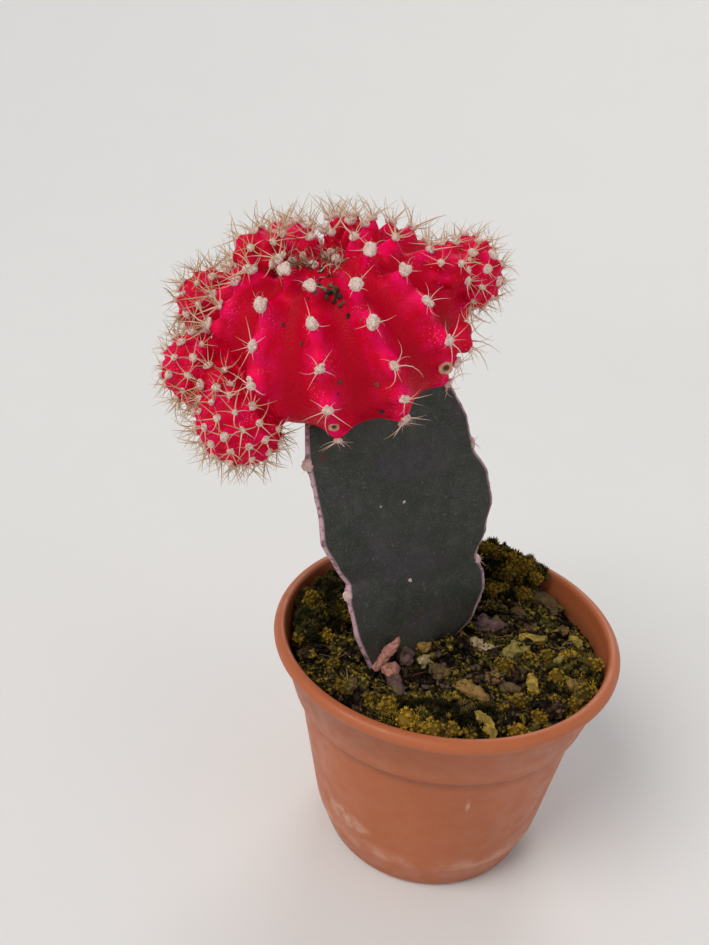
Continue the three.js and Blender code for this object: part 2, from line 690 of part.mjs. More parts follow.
// Moss cushion: a lumpy dome over the mix, kept inside the pot and cut to the mix's surface
function makeMoss(cushion, soil, stockPocket) {
  const { x, y, turn, reach, depth, top, seed } = cushion;
  const rings = [-3, 0, 0.45, 0.75, 0.93].map((part) => {
    const level = part < 0 ? 1 : Math.sqrt(1 - part * part);
    return Array.from({ length: MOSS_COLUMNS }, (_, column) => {
      const angle = 2 * Math.PI * column / MOSS_COLUMNS;
      const wobble = 1 + 0.16 * planeNoise(3 * Math.cos(angle) + seed, 3 * Math.sin(angle), seed);
      const along = reach * level * wobble * Math.cos(angle);
      const away = depth * level * wobble * Math.sin(angle);
      const lump = part > 0 ? 0.7 * planeNoise(along / 2.1 + seed, away / 2.1, seed + 5) : 0;
      const bend = radians(turn);
      return new THREE.Vector3(
        x + along * Math.cos(bend) - away * Math.sin(bend),
        y + along * Math.sin(bend) + away * Math.cos(bend),
        top + MOSS_DOME * (part - 1) + lump,
      );
    });
  });
  const root = new THREE.Vector3(x, y, top - 4.5 * MOSS_DOME);
  const crown = new THREE.Vector3(x, y, top + 0.2);
  return settle(skinSolid(ringSkin(rings, root, crown)), soil, stockPocket);
}

// Cuts what lies on the mix to fit: inside the pot and its lip, on the mix, clear of the stem
function settle(loose, soil, stockPocket) {
  const overLip = POT_HEIGHT + CLEARANCE;
  const lipEdge = POT_RIM_RADIUS - LIP_WIDTH / 2;
  const mouth = lathe([
    [0, 30],
    [fillRadius(30), 30],
    [fillRadius(COLLAR_FOOT_Z), COLLAR_FOOT_Z],
    [fillRadius(POT_HEIGHT - LIP_DEPTH), POT_HEIGHT - LIP_DEPTH],
    [fillRadius(POT_HEIGHT - LIP_DEPTH), overLip],
    [lipEdge, overLip],
    [lipEdge, POT_HEIGHT + 6],
    [0, POT_HEIGHT + 6],
  ], POT_SEGMENTS);
  const underSurface = SOIL_LEVEL - 3;
  const core = lathe([[0, 0], [32, 0], [32, underSurface], [0, underSurface]], POT_SEGMENTS);
  const bed = soil.add(soil.translate(0, 0, CLEARANCE)).add(core);
  return largestBody(loose.intersect(mouth).subtract(bed).subtract(stockPocket));
}

// Bark chip: a flat split sliver lying half in the mix's crumbs
function makeChip(chip, soil, stockPocket) {
  const { x, y, turn, tilt, length, width, thick } = chip;
  const outline = new THREE.Shape([
    new THREE.Vector2(-length / 2, -width * 0.3),
    new THREE.Vector2(-length * 0.3, -width / 2),
    new THREE.Vector2(length * 0.35, -width * 0.42),
    new THREE.Vector2(length / 2, width * 0.1),
    new THREE.Vector2(length * 0.2, width / 2),
    new THREE.Vector2(-length * 0.38, width * 0.38),
  ]);
  const sliver = new THREE.ExtrudeGeometry(outline, {
    depth: thick * 0.5,
    bevelEnabled: true,
    bevelThickness: thick * 0.25,
    bevelSize: thick * 0.25,
    bevelSegments: 1,
    steps: 1,
  });
  sliver.rotateY(radians(tilt));
  sliver.rotateZ(radians(turn));
  sliver.translate(x, y, soilHeight(x, y) + 0.35);
  return settle(toSolid(sliver), soil, stockPocket);
}

const MOSS_CUSHIONS = [
  { name: 'moss_back', x: 11.5, y: 21.5, turn: -27, reach: 8.6, depth: 5.6, top: 46, seed: 3 },
  { name: 'moss_left', x: -21, y: 6.5, turn: 78, reach: 9.5, depth: 4.8, top: 43.4, seed: 11 },
  { name: 'moss_front', x: -1.5, y: -21.4, turn: 2, reach: 12, depth: 4.2, top: 42.6, seed: 17 },
  { name: 'moss_right', x: 21.2, y: -10, turn: 66, reach: 8, depth: 4.6, top: 42.8, seed: 29 },
];

const BARK_CHIPS = [
  { x: 3.6, y: -14.3, turn: -31, tilt: 3, length: 6.4, width: 2.2, thick: 1.3 },
  { x: 13.2, y: -1.8, turn: 42, tilt: -6, length: 7.2, width: 2.4, thick: 1.2 },
  { x: 20.6, y: 12.8, turn: -50, tilt: 4, length: 6, width: 3.2, thick: 2 },
  { x: -9, y: -12.9, turn: -74, tilt: 4, length: 7, width: 1.9, thick: 1.3 },
];

const POT_PLASTIC = { color: 0xb4532a, roughness: 0.5, metalness: 0 };
const PEAT = { color: 0x2a2018, roughness: 1, metalness: 0 };
const STOCK_SKIN = { color: 0x2f4436, roughness: 0.6, metalness: 0 };
const RED_FLESH = { color: 0xd1103a, roughness: 0.4, metalness: 0 };
const MOSS = { color: 0x66702a, roughness: 1, metalness: 0 };
const BARK = { color: 0x7a5a3c, roughness: 0.95, metalness: 0 };

const group = new THREE.Group();

function place(name, solid, finish) {
  const mesh = new THREE.Mesh(toGeometry(solid), new THREE.MeshStandardMaterial(finish));
  mesh.name = name;
  group.add(mesh);
}

const stockPocket = makeStock(CLEARANCE);
const soil = makeSoil(stockPocket);
place('pot', makePot(), POT_PLASTIC);
place('soil', soil, PEAT);
place('rootstock', makeStock(0), STOCK_SKIN);
place('scion', makeScion(stockPocket), RED_FLESH);
MOSS_CUSHIONS.forEach((cushion) => place(cushion.name, makeMoss(cushion, soil, stockPocket), MOSS));
BARK_CHIPS.forEach((chip, index) => place(`bark_chip_${index + 1}`, makeChip(chip, soil, stockPocket), BARK));

export default group;
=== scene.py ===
import math

import bpy
import numpy as np
from mathutils import Matrix, Vector
from mathutils.bvhtree import BVHTree


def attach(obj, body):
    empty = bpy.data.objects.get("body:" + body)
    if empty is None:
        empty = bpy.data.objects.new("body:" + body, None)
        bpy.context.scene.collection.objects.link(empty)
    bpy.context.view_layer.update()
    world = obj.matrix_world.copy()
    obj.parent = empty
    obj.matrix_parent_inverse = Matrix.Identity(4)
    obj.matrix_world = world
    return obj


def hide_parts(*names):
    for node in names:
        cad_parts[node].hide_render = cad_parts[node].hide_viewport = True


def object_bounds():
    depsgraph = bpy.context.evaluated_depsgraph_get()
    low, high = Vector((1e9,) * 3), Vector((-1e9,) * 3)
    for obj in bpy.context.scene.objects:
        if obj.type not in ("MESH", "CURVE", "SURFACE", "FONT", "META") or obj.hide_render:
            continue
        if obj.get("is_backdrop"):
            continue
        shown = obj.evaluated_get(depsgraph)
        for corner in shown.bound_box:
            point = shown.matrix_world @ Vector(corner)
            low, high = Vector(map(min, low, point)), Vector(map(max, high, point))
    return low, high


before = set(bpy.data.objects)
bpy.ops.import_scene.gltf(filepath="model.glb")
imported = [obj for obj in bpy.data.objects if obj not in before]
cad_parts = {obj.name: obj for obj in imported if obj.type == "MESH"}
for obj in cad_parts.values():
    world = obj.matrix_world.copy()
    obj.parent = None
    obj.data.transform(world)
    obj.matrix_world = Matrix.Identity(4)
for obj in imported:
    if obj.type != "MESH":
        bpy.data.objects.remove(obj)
cad_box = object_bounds()

MM = 0.001

# The camera, as the photograph was taken
PHOTO_WIDTH = 709
PHOTO_HEIGHT = 945
FOCAL_PIXELS = 900
CAMERA_PLACE = np.array([-17.63, -129.177, 137.805])
CAMERA_DOWN = 26.892
CAMERA_ROLL = 3.595
SENSOR_WIDTH = 36

# The floor: where its rise starts and ends and how high it goes, in metres, and its mesh
FLOOR_FLAT = 0.30
FLOOR_REACH = 1.6
FLOOR_RISE = 0.8
FLOOR_ROWS = 50
FLOOR_COLUMNS = 96

# The sky, and suns: name, where each lies, energy, width in degrees and colour
SKY_COLOUR = (0.93, 0.95, 1.0, 1)
SKY_STRENGTH = 0.36
SUNS = [
    ("key", (-0.55, -0.45, 0.90), 1.75, 32, (1.0, 0.965, 0.92)),
    ("fill", (0.41, -0.25, 0.18), 0.55, 44, (0.95, 0.97, 1.0)),
    ("rim", (0.09, 0.40, 0.28), 0.9, 32, (1.0, 0.98, 0.95)),
]

# Pot
POT_HEIGHT = 44.0
POT_RIM_RADIUS = 30.0
POT_WALL = 1.0
LIP_WIDTH = 2.0
LIP_DEPTH = 2.4
COLLAR_TOP_RADIUS = 28.8
COLLAR_FOOT_RADIUS = 26.3
COLLAR_FOOT_Z = 32.5
BODY_TOP_RADIUS = 25.2
BODY_TOP_Z = 31.2
SHOULDER_RADIUS = 21.3
SHOULDER_Z = 7.5
FOOT_RADIUS = 19.0
PAD_RADIUS = 9.0
CHANNEL_INNER_RADIUS = 9.8
CHANNEL_OUTER_RADIUS = 14.2
FOOT_RING_INNER_RADIUS = 15.0
FOOT_RING_OUTER_RADIUS = 18.2
CHANNEL_RISE = 1.2
FLOOR_SLOPE = 0.6
DRAIN_HOLES = 6
DRAIN_HOLE_RADIUS = 2.0
DRAIN_RING_RADIUS = 12.0
POT_COLUMNS = 160
LIP_STEPS = 14

# Pale stains on the pot: pixel, reach along each axis and strength
POT_STAINS = [(341, 812, (5, 5, 3.6), 0.5), (357, 826, (4, 4, 2.4), 0.4), (468, 806, (0.5, 2, 2.6), 0.6)]

# Potting mix
WALL_GAP = 0.35
SOIL_LEVEL = 40.2
SOIL_EDGE_DROP = 0.9
SOIL_ROUGHNESS = 1.3
SOIL_SEED = 7
SOIL_HUMPS = [
    {"x": -5.5, "y": -0.5, "spread": 7, "rise": 1.9},
    {"x": 11, "y": 20, "spread": 6, "rise": 1.6},
    {"x": 23, "y": 9, "spread": 5, "rise": -0.8},
]
SOIL_COLUMNS = 120
SOIL_RINGS = 56

# Stem
STOCK_BASE = np.array([-4.5, 1.5, 38.0])
STOCK_TOP = np.array([-19.9, 3.1, 88.6])
STOCK_FOOT_Z = 23.0
STOCK_GAP = 0.3
WING_ANGLES = [-120, 0, 120]
WING_EDGE_HALF = 0.95
EDGE_THINNING = 0.62
WING_REACH = [
    [[22, 4], [30, 10], [37, 14.6], [42, 13.9], [50, 15.2], [56, 14.8], [58.8, 13.7],
     [63, 15.4], [67.8, 16.8], [71.5, 15.7], [79.7, 14.9], [88.6, 11.9], [98, 9]],
    [[22, 3], [30, 4.8], [38, 6.9], [42, 11.1], [47, 13.8], [50, 14.2], [52.7, 13.2],
     [57.5, 16], [63, 18.1], [67.8, 18.2], [72.4, 16.4], [77, 16.7], [84, 15], [98, 15.8]],
    [[22, 3], [30, 8], [38, 12], [44, 13.6], [48, 12.9], [54, 15.2], [60, 16.2],
     [65.5, 14.4], [71, 15.9], [79, 16], [88.6, 14], [98, 12]],
]
# Grazes of the stem: pixel of the photograph, and half width and height
STEM_GRAZES = [(325, 457, 0.5, 0.9), (420, 615, 0.5, 0.5)]
# White specks on the stem: pixel and size
STEM_SPECKS = [(410, 580, 0.36), (404, 502, 0.24), (381, 507, 0.2)]
FACE_REACH = [[22, 2.6], [34, 5.2], [44, 6.6], [60, 7.6], [74, 7.8], [88.6, 7.4], [98, 7]]
STOCK_AREOLES = [[57.4, 80], [52.2, 72.8], [48, 65.5]]
TIP_STEPS = 10
FLANK_STEPS = 26
STOCK_ROWS = 170

# Head: its place, and its ribs as the azimuths and latitudes of the areoles down each crest
HEAD_CENTRE = np.array([-21.5, 0, 96.9])
HEAD_RADIUS = 18.9
HEAD_HALF_HEIGHT = 13.8
HEAD_LEAN = np.array([-0.192, -0.372, 1])
GRAFT_DEPTH = 9.0
HEAD_RIBS = [
    [(-149, 70), (-162, 59), (-168, 49), (-166, 35), (-169, 20), (-171, 5)],
    [(-131, 67), (-134, 50), (-129, 32), (-127, 12)],
    [(-100, 62), (-98, 45.5), (-95, 25.5), (-94, 3), (-95, -36)],
    [(-66, 58.5), (-66, 41), (-64, 18.5), (-63, -3), (-61, -22), (-59, -36)],
    [(-12, 77), (-30, 68), (-28, 51.5), (-33, 35), (-35, 12), (-31, -7), (-30, -26)],
    [(29, 70), (1, 60), (6, 41), (4, 20), (2, -5), (-4, -20)],
    [(64, 82), (50, 72), (46, 59), (44, 46), (42, 31), (41, 15), (40, -2), (40, -18), (40, -34)],
    [(88, 80), (84, 67), (82, 53), (80, 39), (80, 25), (80, 11), (80, -4), (80, -20), (80, -35)],
    [(114, 75), (116, 61), (117, 47), (118, 33), (118, 18), (118, 3), (118, -12), (118, -28)],
    [(148, 84), (158, 71), (150, 57), (144, 44), (147, 30), (149, 16), (150, 2), (150, -14), (150, -30)],
    [(172, 70), (172, 57), (166, 42), (175, 27), (176, 12), (174, -4), (172, -20)],
]
RIB_DEPTH = 1.85
UNDERSIDE_DEPTH = 0.3
CREST_SINK = 0.8
TUBERCLE_RISE = 1.45
TUBERCLE_SPAN = 7.2
APEX_SINK = 1.6
REAR_SINK = 1.0
REAR_FURROW = 1.1
REAR_AZIMUTH = 80
CROWN_NOTCH = 1.5
CROWN_SWELL = 0.6
HEAD_COLUMNS = 300
HEAD_ROWS = 150
OFFSETS = [
    {"azimuth": -141, "latitude": -21, "radius": 6.3, "stand": 2.6},
    {"azimuth": -168, "latitude": -6, "radius": 5.3, "stand": 3.1},
    {"azimuth": 164, "latitude": 9, "radius": 4.9, "stand": 1.5},
    {"azimuth": 175, "latitude": 62, "radius": 3.3, "stand": 0.6},
    {"azimuth": 75, "latitude": 52, "radius": 2.6, "stand": -2.7},
    {"azimuth": 14, "latitude": 9, "radius": 5.1, "stand": 2},
    {"azimuth": 112, "latitude": 4, "radius": 4.8, "stand": 1.8},
    {"azimuth": -152, "latitude": -10, "radius": 3.9, "stand": 0.4},
    {"azimuth": 6, "latitude": 27, "radius": 3.4, "stand": -0.5},
    {"azimuth": -24, "latitude": 3, "radius": 1.7, "stand": -0.2},
]
LOWEST_TUBERCLE = -38
GOLDEN_ANGLE = 137.508
TUBERCLE_SPACING = 2.75
TUBERCLE_HEIGHT = 1.1
BOX_MARGIN = 0.25
OFFSET_COLUMNS = 84
OFFSET_ROWS = 44
FLESH_VOXEL = 0.3
WOOL_TUFT = 0.30
PAD_HAIRS = 28
# The ribs that the photograph shows from the front
FRONT_RIBS = (1, 2, 3, 4)
# Ring scars on the head: pixel and size, and how far each turns to the camera
SCARS = [(446, 367, 0.72), (334, 426, 0.55)]
SCAR_TURN = 0.45
# Crumbs of the mix on the head: pixel and size
FALLEN_CRUMBS = [
    (322, 271, 0.5), (318, 286, 0.42), (323, 290, 0.5), (329, 293, 0.42), (335, 291, 0.5), (339, 297, 0.38),
    (326, 298, 0.34), (315, 292, 0.3), (334, 301, 0.3), (341, 306, 0.26), (348, 316, 0.32), (320, 280, 0.26),
    (331, 285, 0.3), (328, 277, 0.24), (344, 302, 0.2), (312, 284, 0.26), (340, 382, 0.28), (377, 384, 0.26),
    (381, 411, 0.3), (282, 324, 0.26), (338, 394, 0.18), (302, 344, 0.2), (361, 320, 0.16), (309, 298, 0.2),
    (352, 331, 0.15), (303, 226, 0.75),
]
# Dried threads at the crown: pixel, spread in pixels, how many, and their lie in the photograph
CROWN_THREADS = [(316, 264, 7, 26, 100), (302, 262, 8, 18, 125), (336, 262, 6, 16, 70), (285, 268, 7, 14, 30),
                 (328, 274, 6, 8, 60)]
# Loose wool at the crown: pixel and size
CROWN_WOOL = [(313, 265, 0.85), (336, 261, 0.8), (325, 256, 0.6), (292, 262, 0.6), (304, 257, 0.6),
              (331, 251, 0.5)]

# Moss cushions and bark chips, as in the solids
MOSS_DOME = 2.4
CUSHION_COLUMNS = 60
MOSS_CUSHIONS = [
    {"name": "moss_back", "x": 11.5, "y": 21.5, "turn": -27,
     "reach": 8.6, "depth": 5.6, "top": 46, "seed": 3},
    {"name": "moss_left", "x": -21, "y": 6.5, "turn": 78,
     "reach": 9.5, "depth": 4.8, "top": 43.4, "seed": 11},
    {"name": "moss_front", "x": -1.5, "y": -21.4, "turn": 2,
     "reach": 12, "depth": 4.2, "top": 42.6, "seed": 17},
    {"name": "moss_right", "x": 21.2, "y": -10, "turn": 66,
     "reach": 8, "depth": 4.6, "top": 42.8, "seed": 29},
]
BARK_CHIPS = [
    {"x": 3.6, "y": -14.3, "turn": -31, "tilt": 3, "length": 6.4, "width": 2.2, "thick": 1.3},
    {"x": 13.2, "y": -1.8, "turn": 42, "tilt": -6, "length": 7.2, "width": 2.4, "thick": 1.2},
    {"x": 20.6, "y": 12.8, "turn": -50, "tilt": 4, "length": 6, "width": 3.2, "thick": 2},
    {"x": -9, "y": -12.9, "turn": -74, "tilt": 4, "length": 7, "width": 1.9, "thick": 1.3},
]
BIT_ROWS = 34
BIT_COLUMNS = 28
FIBRE_DRAWS = 150
WHORL_RADIUS = 0.06
# Mossy places of the mix: x, y and spread
MOSSY_SPOTS = [(-21, 6, 9), (-1, -20, 8), (20, -9, 9), (12, 17, 8), (10, -13, 6), (15, -2, 7),
               (-17, -12, 6), (3, -9, 5), (22, 3, 5), (11, 9, 6), (-12, 14, 8)]
# Crumbs strewn over the mix: name, margin to the pot, how many a square metre, smallest and largest
# in metres, unevenness, fineness, lift and seed
STREWN = [
    ("mix_lumps", 1.4, 190000.0, 0.0005, 0.0012, 1.6, 2, 0.3, 21),
    ("mix_clods", 1.8, 46000.0, 0.0010, 0.0019, 1.3, 3, 0.3, 25),
    ("mix_crumbs", 0.5, 560000.0, 0.0002, 0.0006, 1.6, 2, 0.4, 22),
]

# Tints of bark and wood
OCHRE = (0.31, 0.17, 0.050)
GOLD = (0.44, 0.29, 0.040)
OLIVE = (0.27, 0.21, 0.050)
PLUM = (0.125, 0.066, 0.072)
UMBER = (0.115, 0.065, 0.034)
CORK = (0.46, 0.20, 0.16)
CREAM = (0.46, 0.34, 0.20)
RUST = (0.26, 0.070, 0.040)
ASH = (0.135, 0.105, 0.105)
SOOT = (0.030, 0.020, 0.015)
WOOD = (0.21, 0.125, 0.070)
DRIED = (0.60, 0.42, 0.29)

# Bits of bark that the photograph shows on the mix: pixel, length, turn, width, thickness, arch,
# lift and tint
MIX_BITS = [
    (404, 659, 4.0, 80, 2.6, 2.0, 0.0, 0.5, PLUM),
    (391, 673, 3.2, 50, 1.9, 1.5, 0.0, 0.6, CORK),
    (409, 646, 1.9, 10, 1.5, 1.2, 0.0, 0.8, RUST),
    (427, 638, 5.2, 32, 2.6, 2.2, 0.02, 0.4, ASH),
    (424, 663, 2.4, 80, 2.1, 1.8, 0.0, 0.5, CREAM),
    (424, 650, 2.4, 30, 1.8, 1.5, 0.0, 0.5, OCHRE),
    (439, 673, 3.2, 20, 2.4, 1.8, 0.0, 0.2, UMBER),
    (516, 650, 4.6, 84, 1.7, 1.4, 0.04, 0.5, OLIVE),
    (532, 642, 5.2, 4, 1.6, 1.4, -0.06, 0.6, GOLD),
    (481, 648, 4.0, -18, 2.0, 1.6, 0.0, 0.5, CREAM),
    (490, 628, 5.4, 10, 3.2, 2.4, 0.0, 0.2, PLUM),
    (575, 646, 3.6, -58, 1.7, 1.4, 0.03, 0.5, GOLD),
    (510, 689, 4.0, -16, 1.7, 1.3, 0.0, 0.1, UMBER),
    (492, 678, 2.8, 80, 1.6, 1.2, 0.0, 0.1, PLUM),
    (485, 728, 5.4, -62, 1.9, 1.5, 0.04, 0.4, GOLD),
    (533, 686, 4.4, 86, 1.7, 1.4, 0.04, 0.5, GOLD),
    (570, 688, 2.4, 10, 2.0, 1.6, 0.0, 0.5, OCHRE),
    (545, 622, 3.2, -30, 2.2, 1.6, 0.0, 0.2, UMBER),
    (520, 615, 4.0, -20, 1.8, 1.4, 0.0, 0.3, UMBER),
    (428, 700, 2.6, 70, 1.3, 1.2, 0.0, 0.4, OLIVE),
    (352, 688, 3.2, 50, 1.8, 1.5, 0.0, 0.3, UMBER),
    (560, 662, 2.8, 60, 1.4, 1.2, 0.0, 0.4, OLIVE),
]
# The pinkish flap of cork that leans on the stem's foot
STEM_FLAP = (383, 652)
# Golden and green knobs of moss on the mix: pixel, radius and how golden
MOSS_KNOBS = [
    (406, 722, 1.5, 1.0), (418, 726, 1.1, 0.7), (432, 731, 1.4, 0.7), (511, 731, 1.3, 0.8),
    (522, 735, 1.0, 0.5), (534, 694, 0.9, 1.0), (542, 720, 1.2, 0.5), (604, 679, 1.1, 1.0),
    (605, 667, 1.0, 0.8), (592, 668, 1.3, 0.55), (568, 661, 1.2, 0.7), (585, 698, 1.6, 0.2),
    (573, 708, 1.2, 0.4), (504, 669, 1.5, 0.4), (498, 594, 2.0, 0.85), (489, 587, 1.4, 0.6),
    (522, 598, 1.6, 0.4), (325, 637, 1.3, 0.8), (312, 603, 1.6, 0.35), (345, 690, 1.3, 0.3),
    (590, 640, 1.4, 0.1), (557, 680, 1.2, 0.5), (548, 660, 1.3, 0.4), (520, 705, 1.3, 0.3),
    (452, 733, 1.2, 0.45), (388, 709, 1.3, 0.5), (370, 702, 1.2, 0.35), (302, 640, 1.2, 0.4),
    (335, 668, 1.1, 0.3), (598, 655, 1.1, 0.5), (345, 620, 1.3, 0.3), (470, 738, 1.1, 0.35),
    (555, 706, 1.1, 0.4), (500, 712, 1.0, 0.3), (530, 662, 1.2, 0.45), (485, 551, 1.3, 0.45),
    (497, 557, 1.5, 0.3), (512, 560, 1.2, 0.5), (524, 570, 1.5, 0.35), (536, 580, 1.2, 0.45),
    (506, 576, 1.4, 0.25), (519, 587, 1.2, 0.35),
]


# Numbers: easing, curves through named points, and seeded noise

def smoothstep(value, low, high):
    part = np.clip((value - low) / (high - low), 0, 1)
    return part * part * (3 - 2 * part)


def bell(distance, spread):
    return np.exp(-0.5 * (distance / spread) ** 2)


def unit(vectors):
    return vectors / np.linalg.norm(vectors, axis=-1, keepdims=True)


def full_turn(count):
    """Evenly spaced angles round a circle."""
    return 2 * np.pi * np.arange(count) / count


def read_curve(pairs, position):
    stops, values = np.array(pairs, dtype=float).T
    index = np.clip(np.searchsorted(stops, position), 1, len(pairs) - 1)
    part = np.clip((position - stops[index - 1]) / (stops[index] - stops[index - 1]), 0, 1)
    eased = 0.5 * part + 0.5 * smoothstep(part, 0, 1)
    return values[index - 1] + (values[index] - values[index - 1]) * eased


def seeded_unit(key):
    """First number of a seeded stream, from 0 to 1, for each whole-number key."""
    state = ((np.asarray(key, dtype=np.int64) + 0x6D2B79F5) & 0xFFFFFFFF).astype(np.uint64)
    low_half = np.uint64(0xFFFFFFFF)
    mixed = ((state ^ (state >> np.uint64(15))) * (state | np.uint64(1))) & low_half
    twisted = ((mixed ^ (mixed >> np.uint64(7))) * (mixed | np.uint64(61))) & low_half
    mixed = ((mixed + twisted) & low_half) ^ mixed
    return (mixed ^ (mixed >> np.uint64(14))).astype(float) / 2 ** 32


def plane_noise(x, y, seed):
    """Smooth value noise over a plane, from -1 to 1."""
    cell_x = np.floor(x).astype(np.int64)
    cell_y = np.floor(y).astype(np.int64)
    blend_x = smoothstep(x - cell_x, 0, 1)
    blend_y = smoothstep(y - cell_y, 0, 1)
    total = 0
    for i, weight_x in ((0, 1 - blend_x), (1, blend_x)):
        for j, weight_y in ((0, 1 - blend_y), (1, blend_y)):
            corner = seeded_unit(seed * 7919 + (cell_x + i) * 131 + (cell_y + j) * 35317) * 2 - 1
            total = total + weight_x * weight_y * corner
    return total


def space_noise(points, size, seed):
    """Smooth value noise through space, from -1 to 1, with lumps of one size."""
    places = points / size
    cell = np.floor(places).astype(np.int64)
    blend = smoothstep(places - cell, 0, 1)
    total = 0
    for corner in np.ndindex(2, 2, 2):
        weight = 1
        key = seed * 7919
        for axis, stride in enumerate((131, 35317, 91193)):
            weight = weight * (blend[..., axis] if corner[axis] else 1 - blend[..., axis])
            key = key + (cell[..., axis] + corner[axis]) * stride
        total = total + weight * (seeded_unit(key) * 2 - 1)
    return total


def bezier(start, control, end, part):
    return start * (1 - part) ** 2 + control * 2 * part * (1 - part) + end * part ** 2


# Meshes: closed skins over rings of points, and what is done to them

def grid_normals(rings):
    """Outward directions of a closed skin whose rings turn anticlockwise about its way up."""
    outward = np.cross(np.roll(rings, -1, axis=1) - np.roll(rings, 1, axis=1), np.gradient(rings, axis=0))
    return outward / np.maximum(np.linalg.norm(outward, axis=-1, keepdims=True), 1e-9)


def swollen(rings, rise):
    """Rings of a closed skin moved outwards by a rise."""
    return rings + grid_normals(rings) * rise[..., None]


def grid_quads(rows, columns):
    index = np.arange(rows * columns).reshape(rows, columns)
    after = np.roll(index, -1, axis=1)
    return np.stack([index[:-1], after[:-1], after[1:], index[1:]], axis=-1).reshape(-1, 4).tolist()


def ring_faces(rows, columns):
    """Faces over rings of points, and a fan to the point that closes each end."""
    start = rows * columns
    last = start - columns
    turn = [(column, (column + 1) % columns) for column in range(columns)]
    fans = [(start, b, a) for a, b in turn] + [(start + 1, last + a, last + b) for a, b in turn]
    return grid_quads(rows, columns) + fans


def skin_mesh(rings, start, end):
    return np.vstack([rings.reshape(-1, 3), start, end]), ring_faces(*rings.shape[:2])


def link(item):
    bpy.context.scene.collection.objects.link(item)
    return item


def make_piece(name, points, faces, attributes=None):
    mesh = bpy.data.meshes.new(name)
    mesh.from_pydata((points * MM).tolist(), [], faces)
    mesh.update()
    if faces:
        mesh.shade_smooth()
    for key, values in (attributes or {}).items():
        store(mesh, key, values)
    return link(bpy.data.objects.new(name, mesh))


def store(mesh, key, values):
    values = np.asarray(values, dtype=np.float32)
    kind, field = ("FLOAT_VECTOR", "vector") if values.ndim == 2 else ("FLOAT", "value")
    mesh.attributes.new(key, kind, "POINT").data.foreach_set(field, values.ravel())


def read_rows(items, field):
    """Three numbers for each vertex or normal of a mesh."""
    flat = np.empty(len(items) * 3, dtype=np.float32)
    items.foreach_get(field, flat)
    return flat.reshape(-1, 3)


def mesh_points(piece):
    return read_rows(piece.data.vertices, "co").astype(float) / MM


def apply_modifiers(piece):
    """Turns what a piece's modifiers make into its plain mesh."""
    depsgraph = bpy.context.evaluated_depsgraph_get()
    finished = bpy.data.meshes.new_from_object(
        piece.evaluated_get(depsgraph), preserve_all_data_layers=True, depsgraph=depsgraph)
    spare = piece.data
    piece.modifiers.clear()
    piece.data = finished
    bpy.data.meshes.remove(spare)
    finished.name = piece.name
    return piece


def add_modifier(piece, kind, **settings):
    modifier = piece.modifiers.new(kind.lower(), kind)
    for name, value in settings.items():
        setattr(modifier, name, value)


def carve(piece, cutter):
    """Cuts one closed piece out of another and throws the cutter away."""
    add_modifier(piece, "BOOLEAN", solver="MANIFOLD", operation="DIFFERENCE", object=cutter)
    apply_modifiers(piece)
    mesh = cutter.data
    bpy.data.objects.remove(cutter)
    bpy.data.meshes.remove(mesh)
    return piece


def dress(piece, material):
    """Gives every face of a piece one material."""
    piece.data.materials.clear()
    piece.data.materials.append(material)
    piece.data.polygons.foreach_set("material_index", [0] * len(piece.data.polygons))
    return piece


def declare(piece, slot, *replaced):
    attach(piece, "root")
    if replaced:
        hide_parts(*replaced)


# Node trees

SOCKETS = {float: "NodeSocketFloat", int: "NodeSocketInt", bool: "NodeSocketBool"}
GEOMETRY = "NodeSocketGeometry"
MATERIAL = "NodeSocketMaterial"


class Tree:
    """A node tree being put together: it adds nodes, and names the usual sums."""

    place_node, place_output = "ShaderNodeTexCoord", "Object"

    def __init__(self, tree):
        self.tree = tree

    def node(self, kind, inputs=None, **settings):
        """Adds a node, links or sets its inputs, and gives its outputs."""
        made = self.tree.nodes.new(kind)
        for name, value in settings.items():
            setattr(made, name, value)
        for name, value in (inputs or {}).items():
            if isinstance(value, bpy.types.NodeSocket):
                self.tree.links.new(value, made.inputs[name])
            else:
                made.inputs[name].default_value = value
        return made.outputs

    def maths(self, operation, *values):
        return self.node("ShaderNodeMath", dict(enumerate(values)), operation=operation)[0]

    def times(self, product, *others):
        for other in others:
            product = self.maths("MULTIPLY", product, other)
        return product

    def vector(self, operation, *values, output=0):
        return self.node("ShaderNodeVectorMath", dict(enumerate(values)), operation=operation)[output]

    def scaled(self, vector, amount):
        return self.node("ShaderNodeVectorMath", {0: vector, "Scale": amount}, operation="SCALE")[0]

    def axis(self, vector, number):
        return self.node("ShaderNodeSeparateXYZ", {0: vector})[number]

    def combined(self, **axes):
        return self.node("ShaderNodeCombineXYZ", axes)[0]

    def stretch(self, value, low, high, to_low=0.0, to_high=1.0, kind="SMOOTHSTEP"):
        inputs = {"Value": value, "From Min": low, "From Max": high, "To Min": to_low, "To Max": to_high}
        return self.node("ShaderNodeMapRange", inputs, interpolation_type=kind)["Result"]

    def fade(self, value, low, high, strength=1.0):
        return self.stretch(value, low, high, strength, 0.0)

    def place(self):
        """Where a point lies in the frame that all pieces share."""
        return self.node(self.place_node)[self.place_output]

    def texture(self, kind, size, output=0, **inputs):
        """Noise or cells through space, of a size in metres."""
        scale = 1 / size if isinstance(size, float) else self.maths("DIVIDE", 1.0, size)
        return self.node("ShaderNodeTex" + kind, {"Vector": self.place(), "Scale": scale, **inputs})[output]


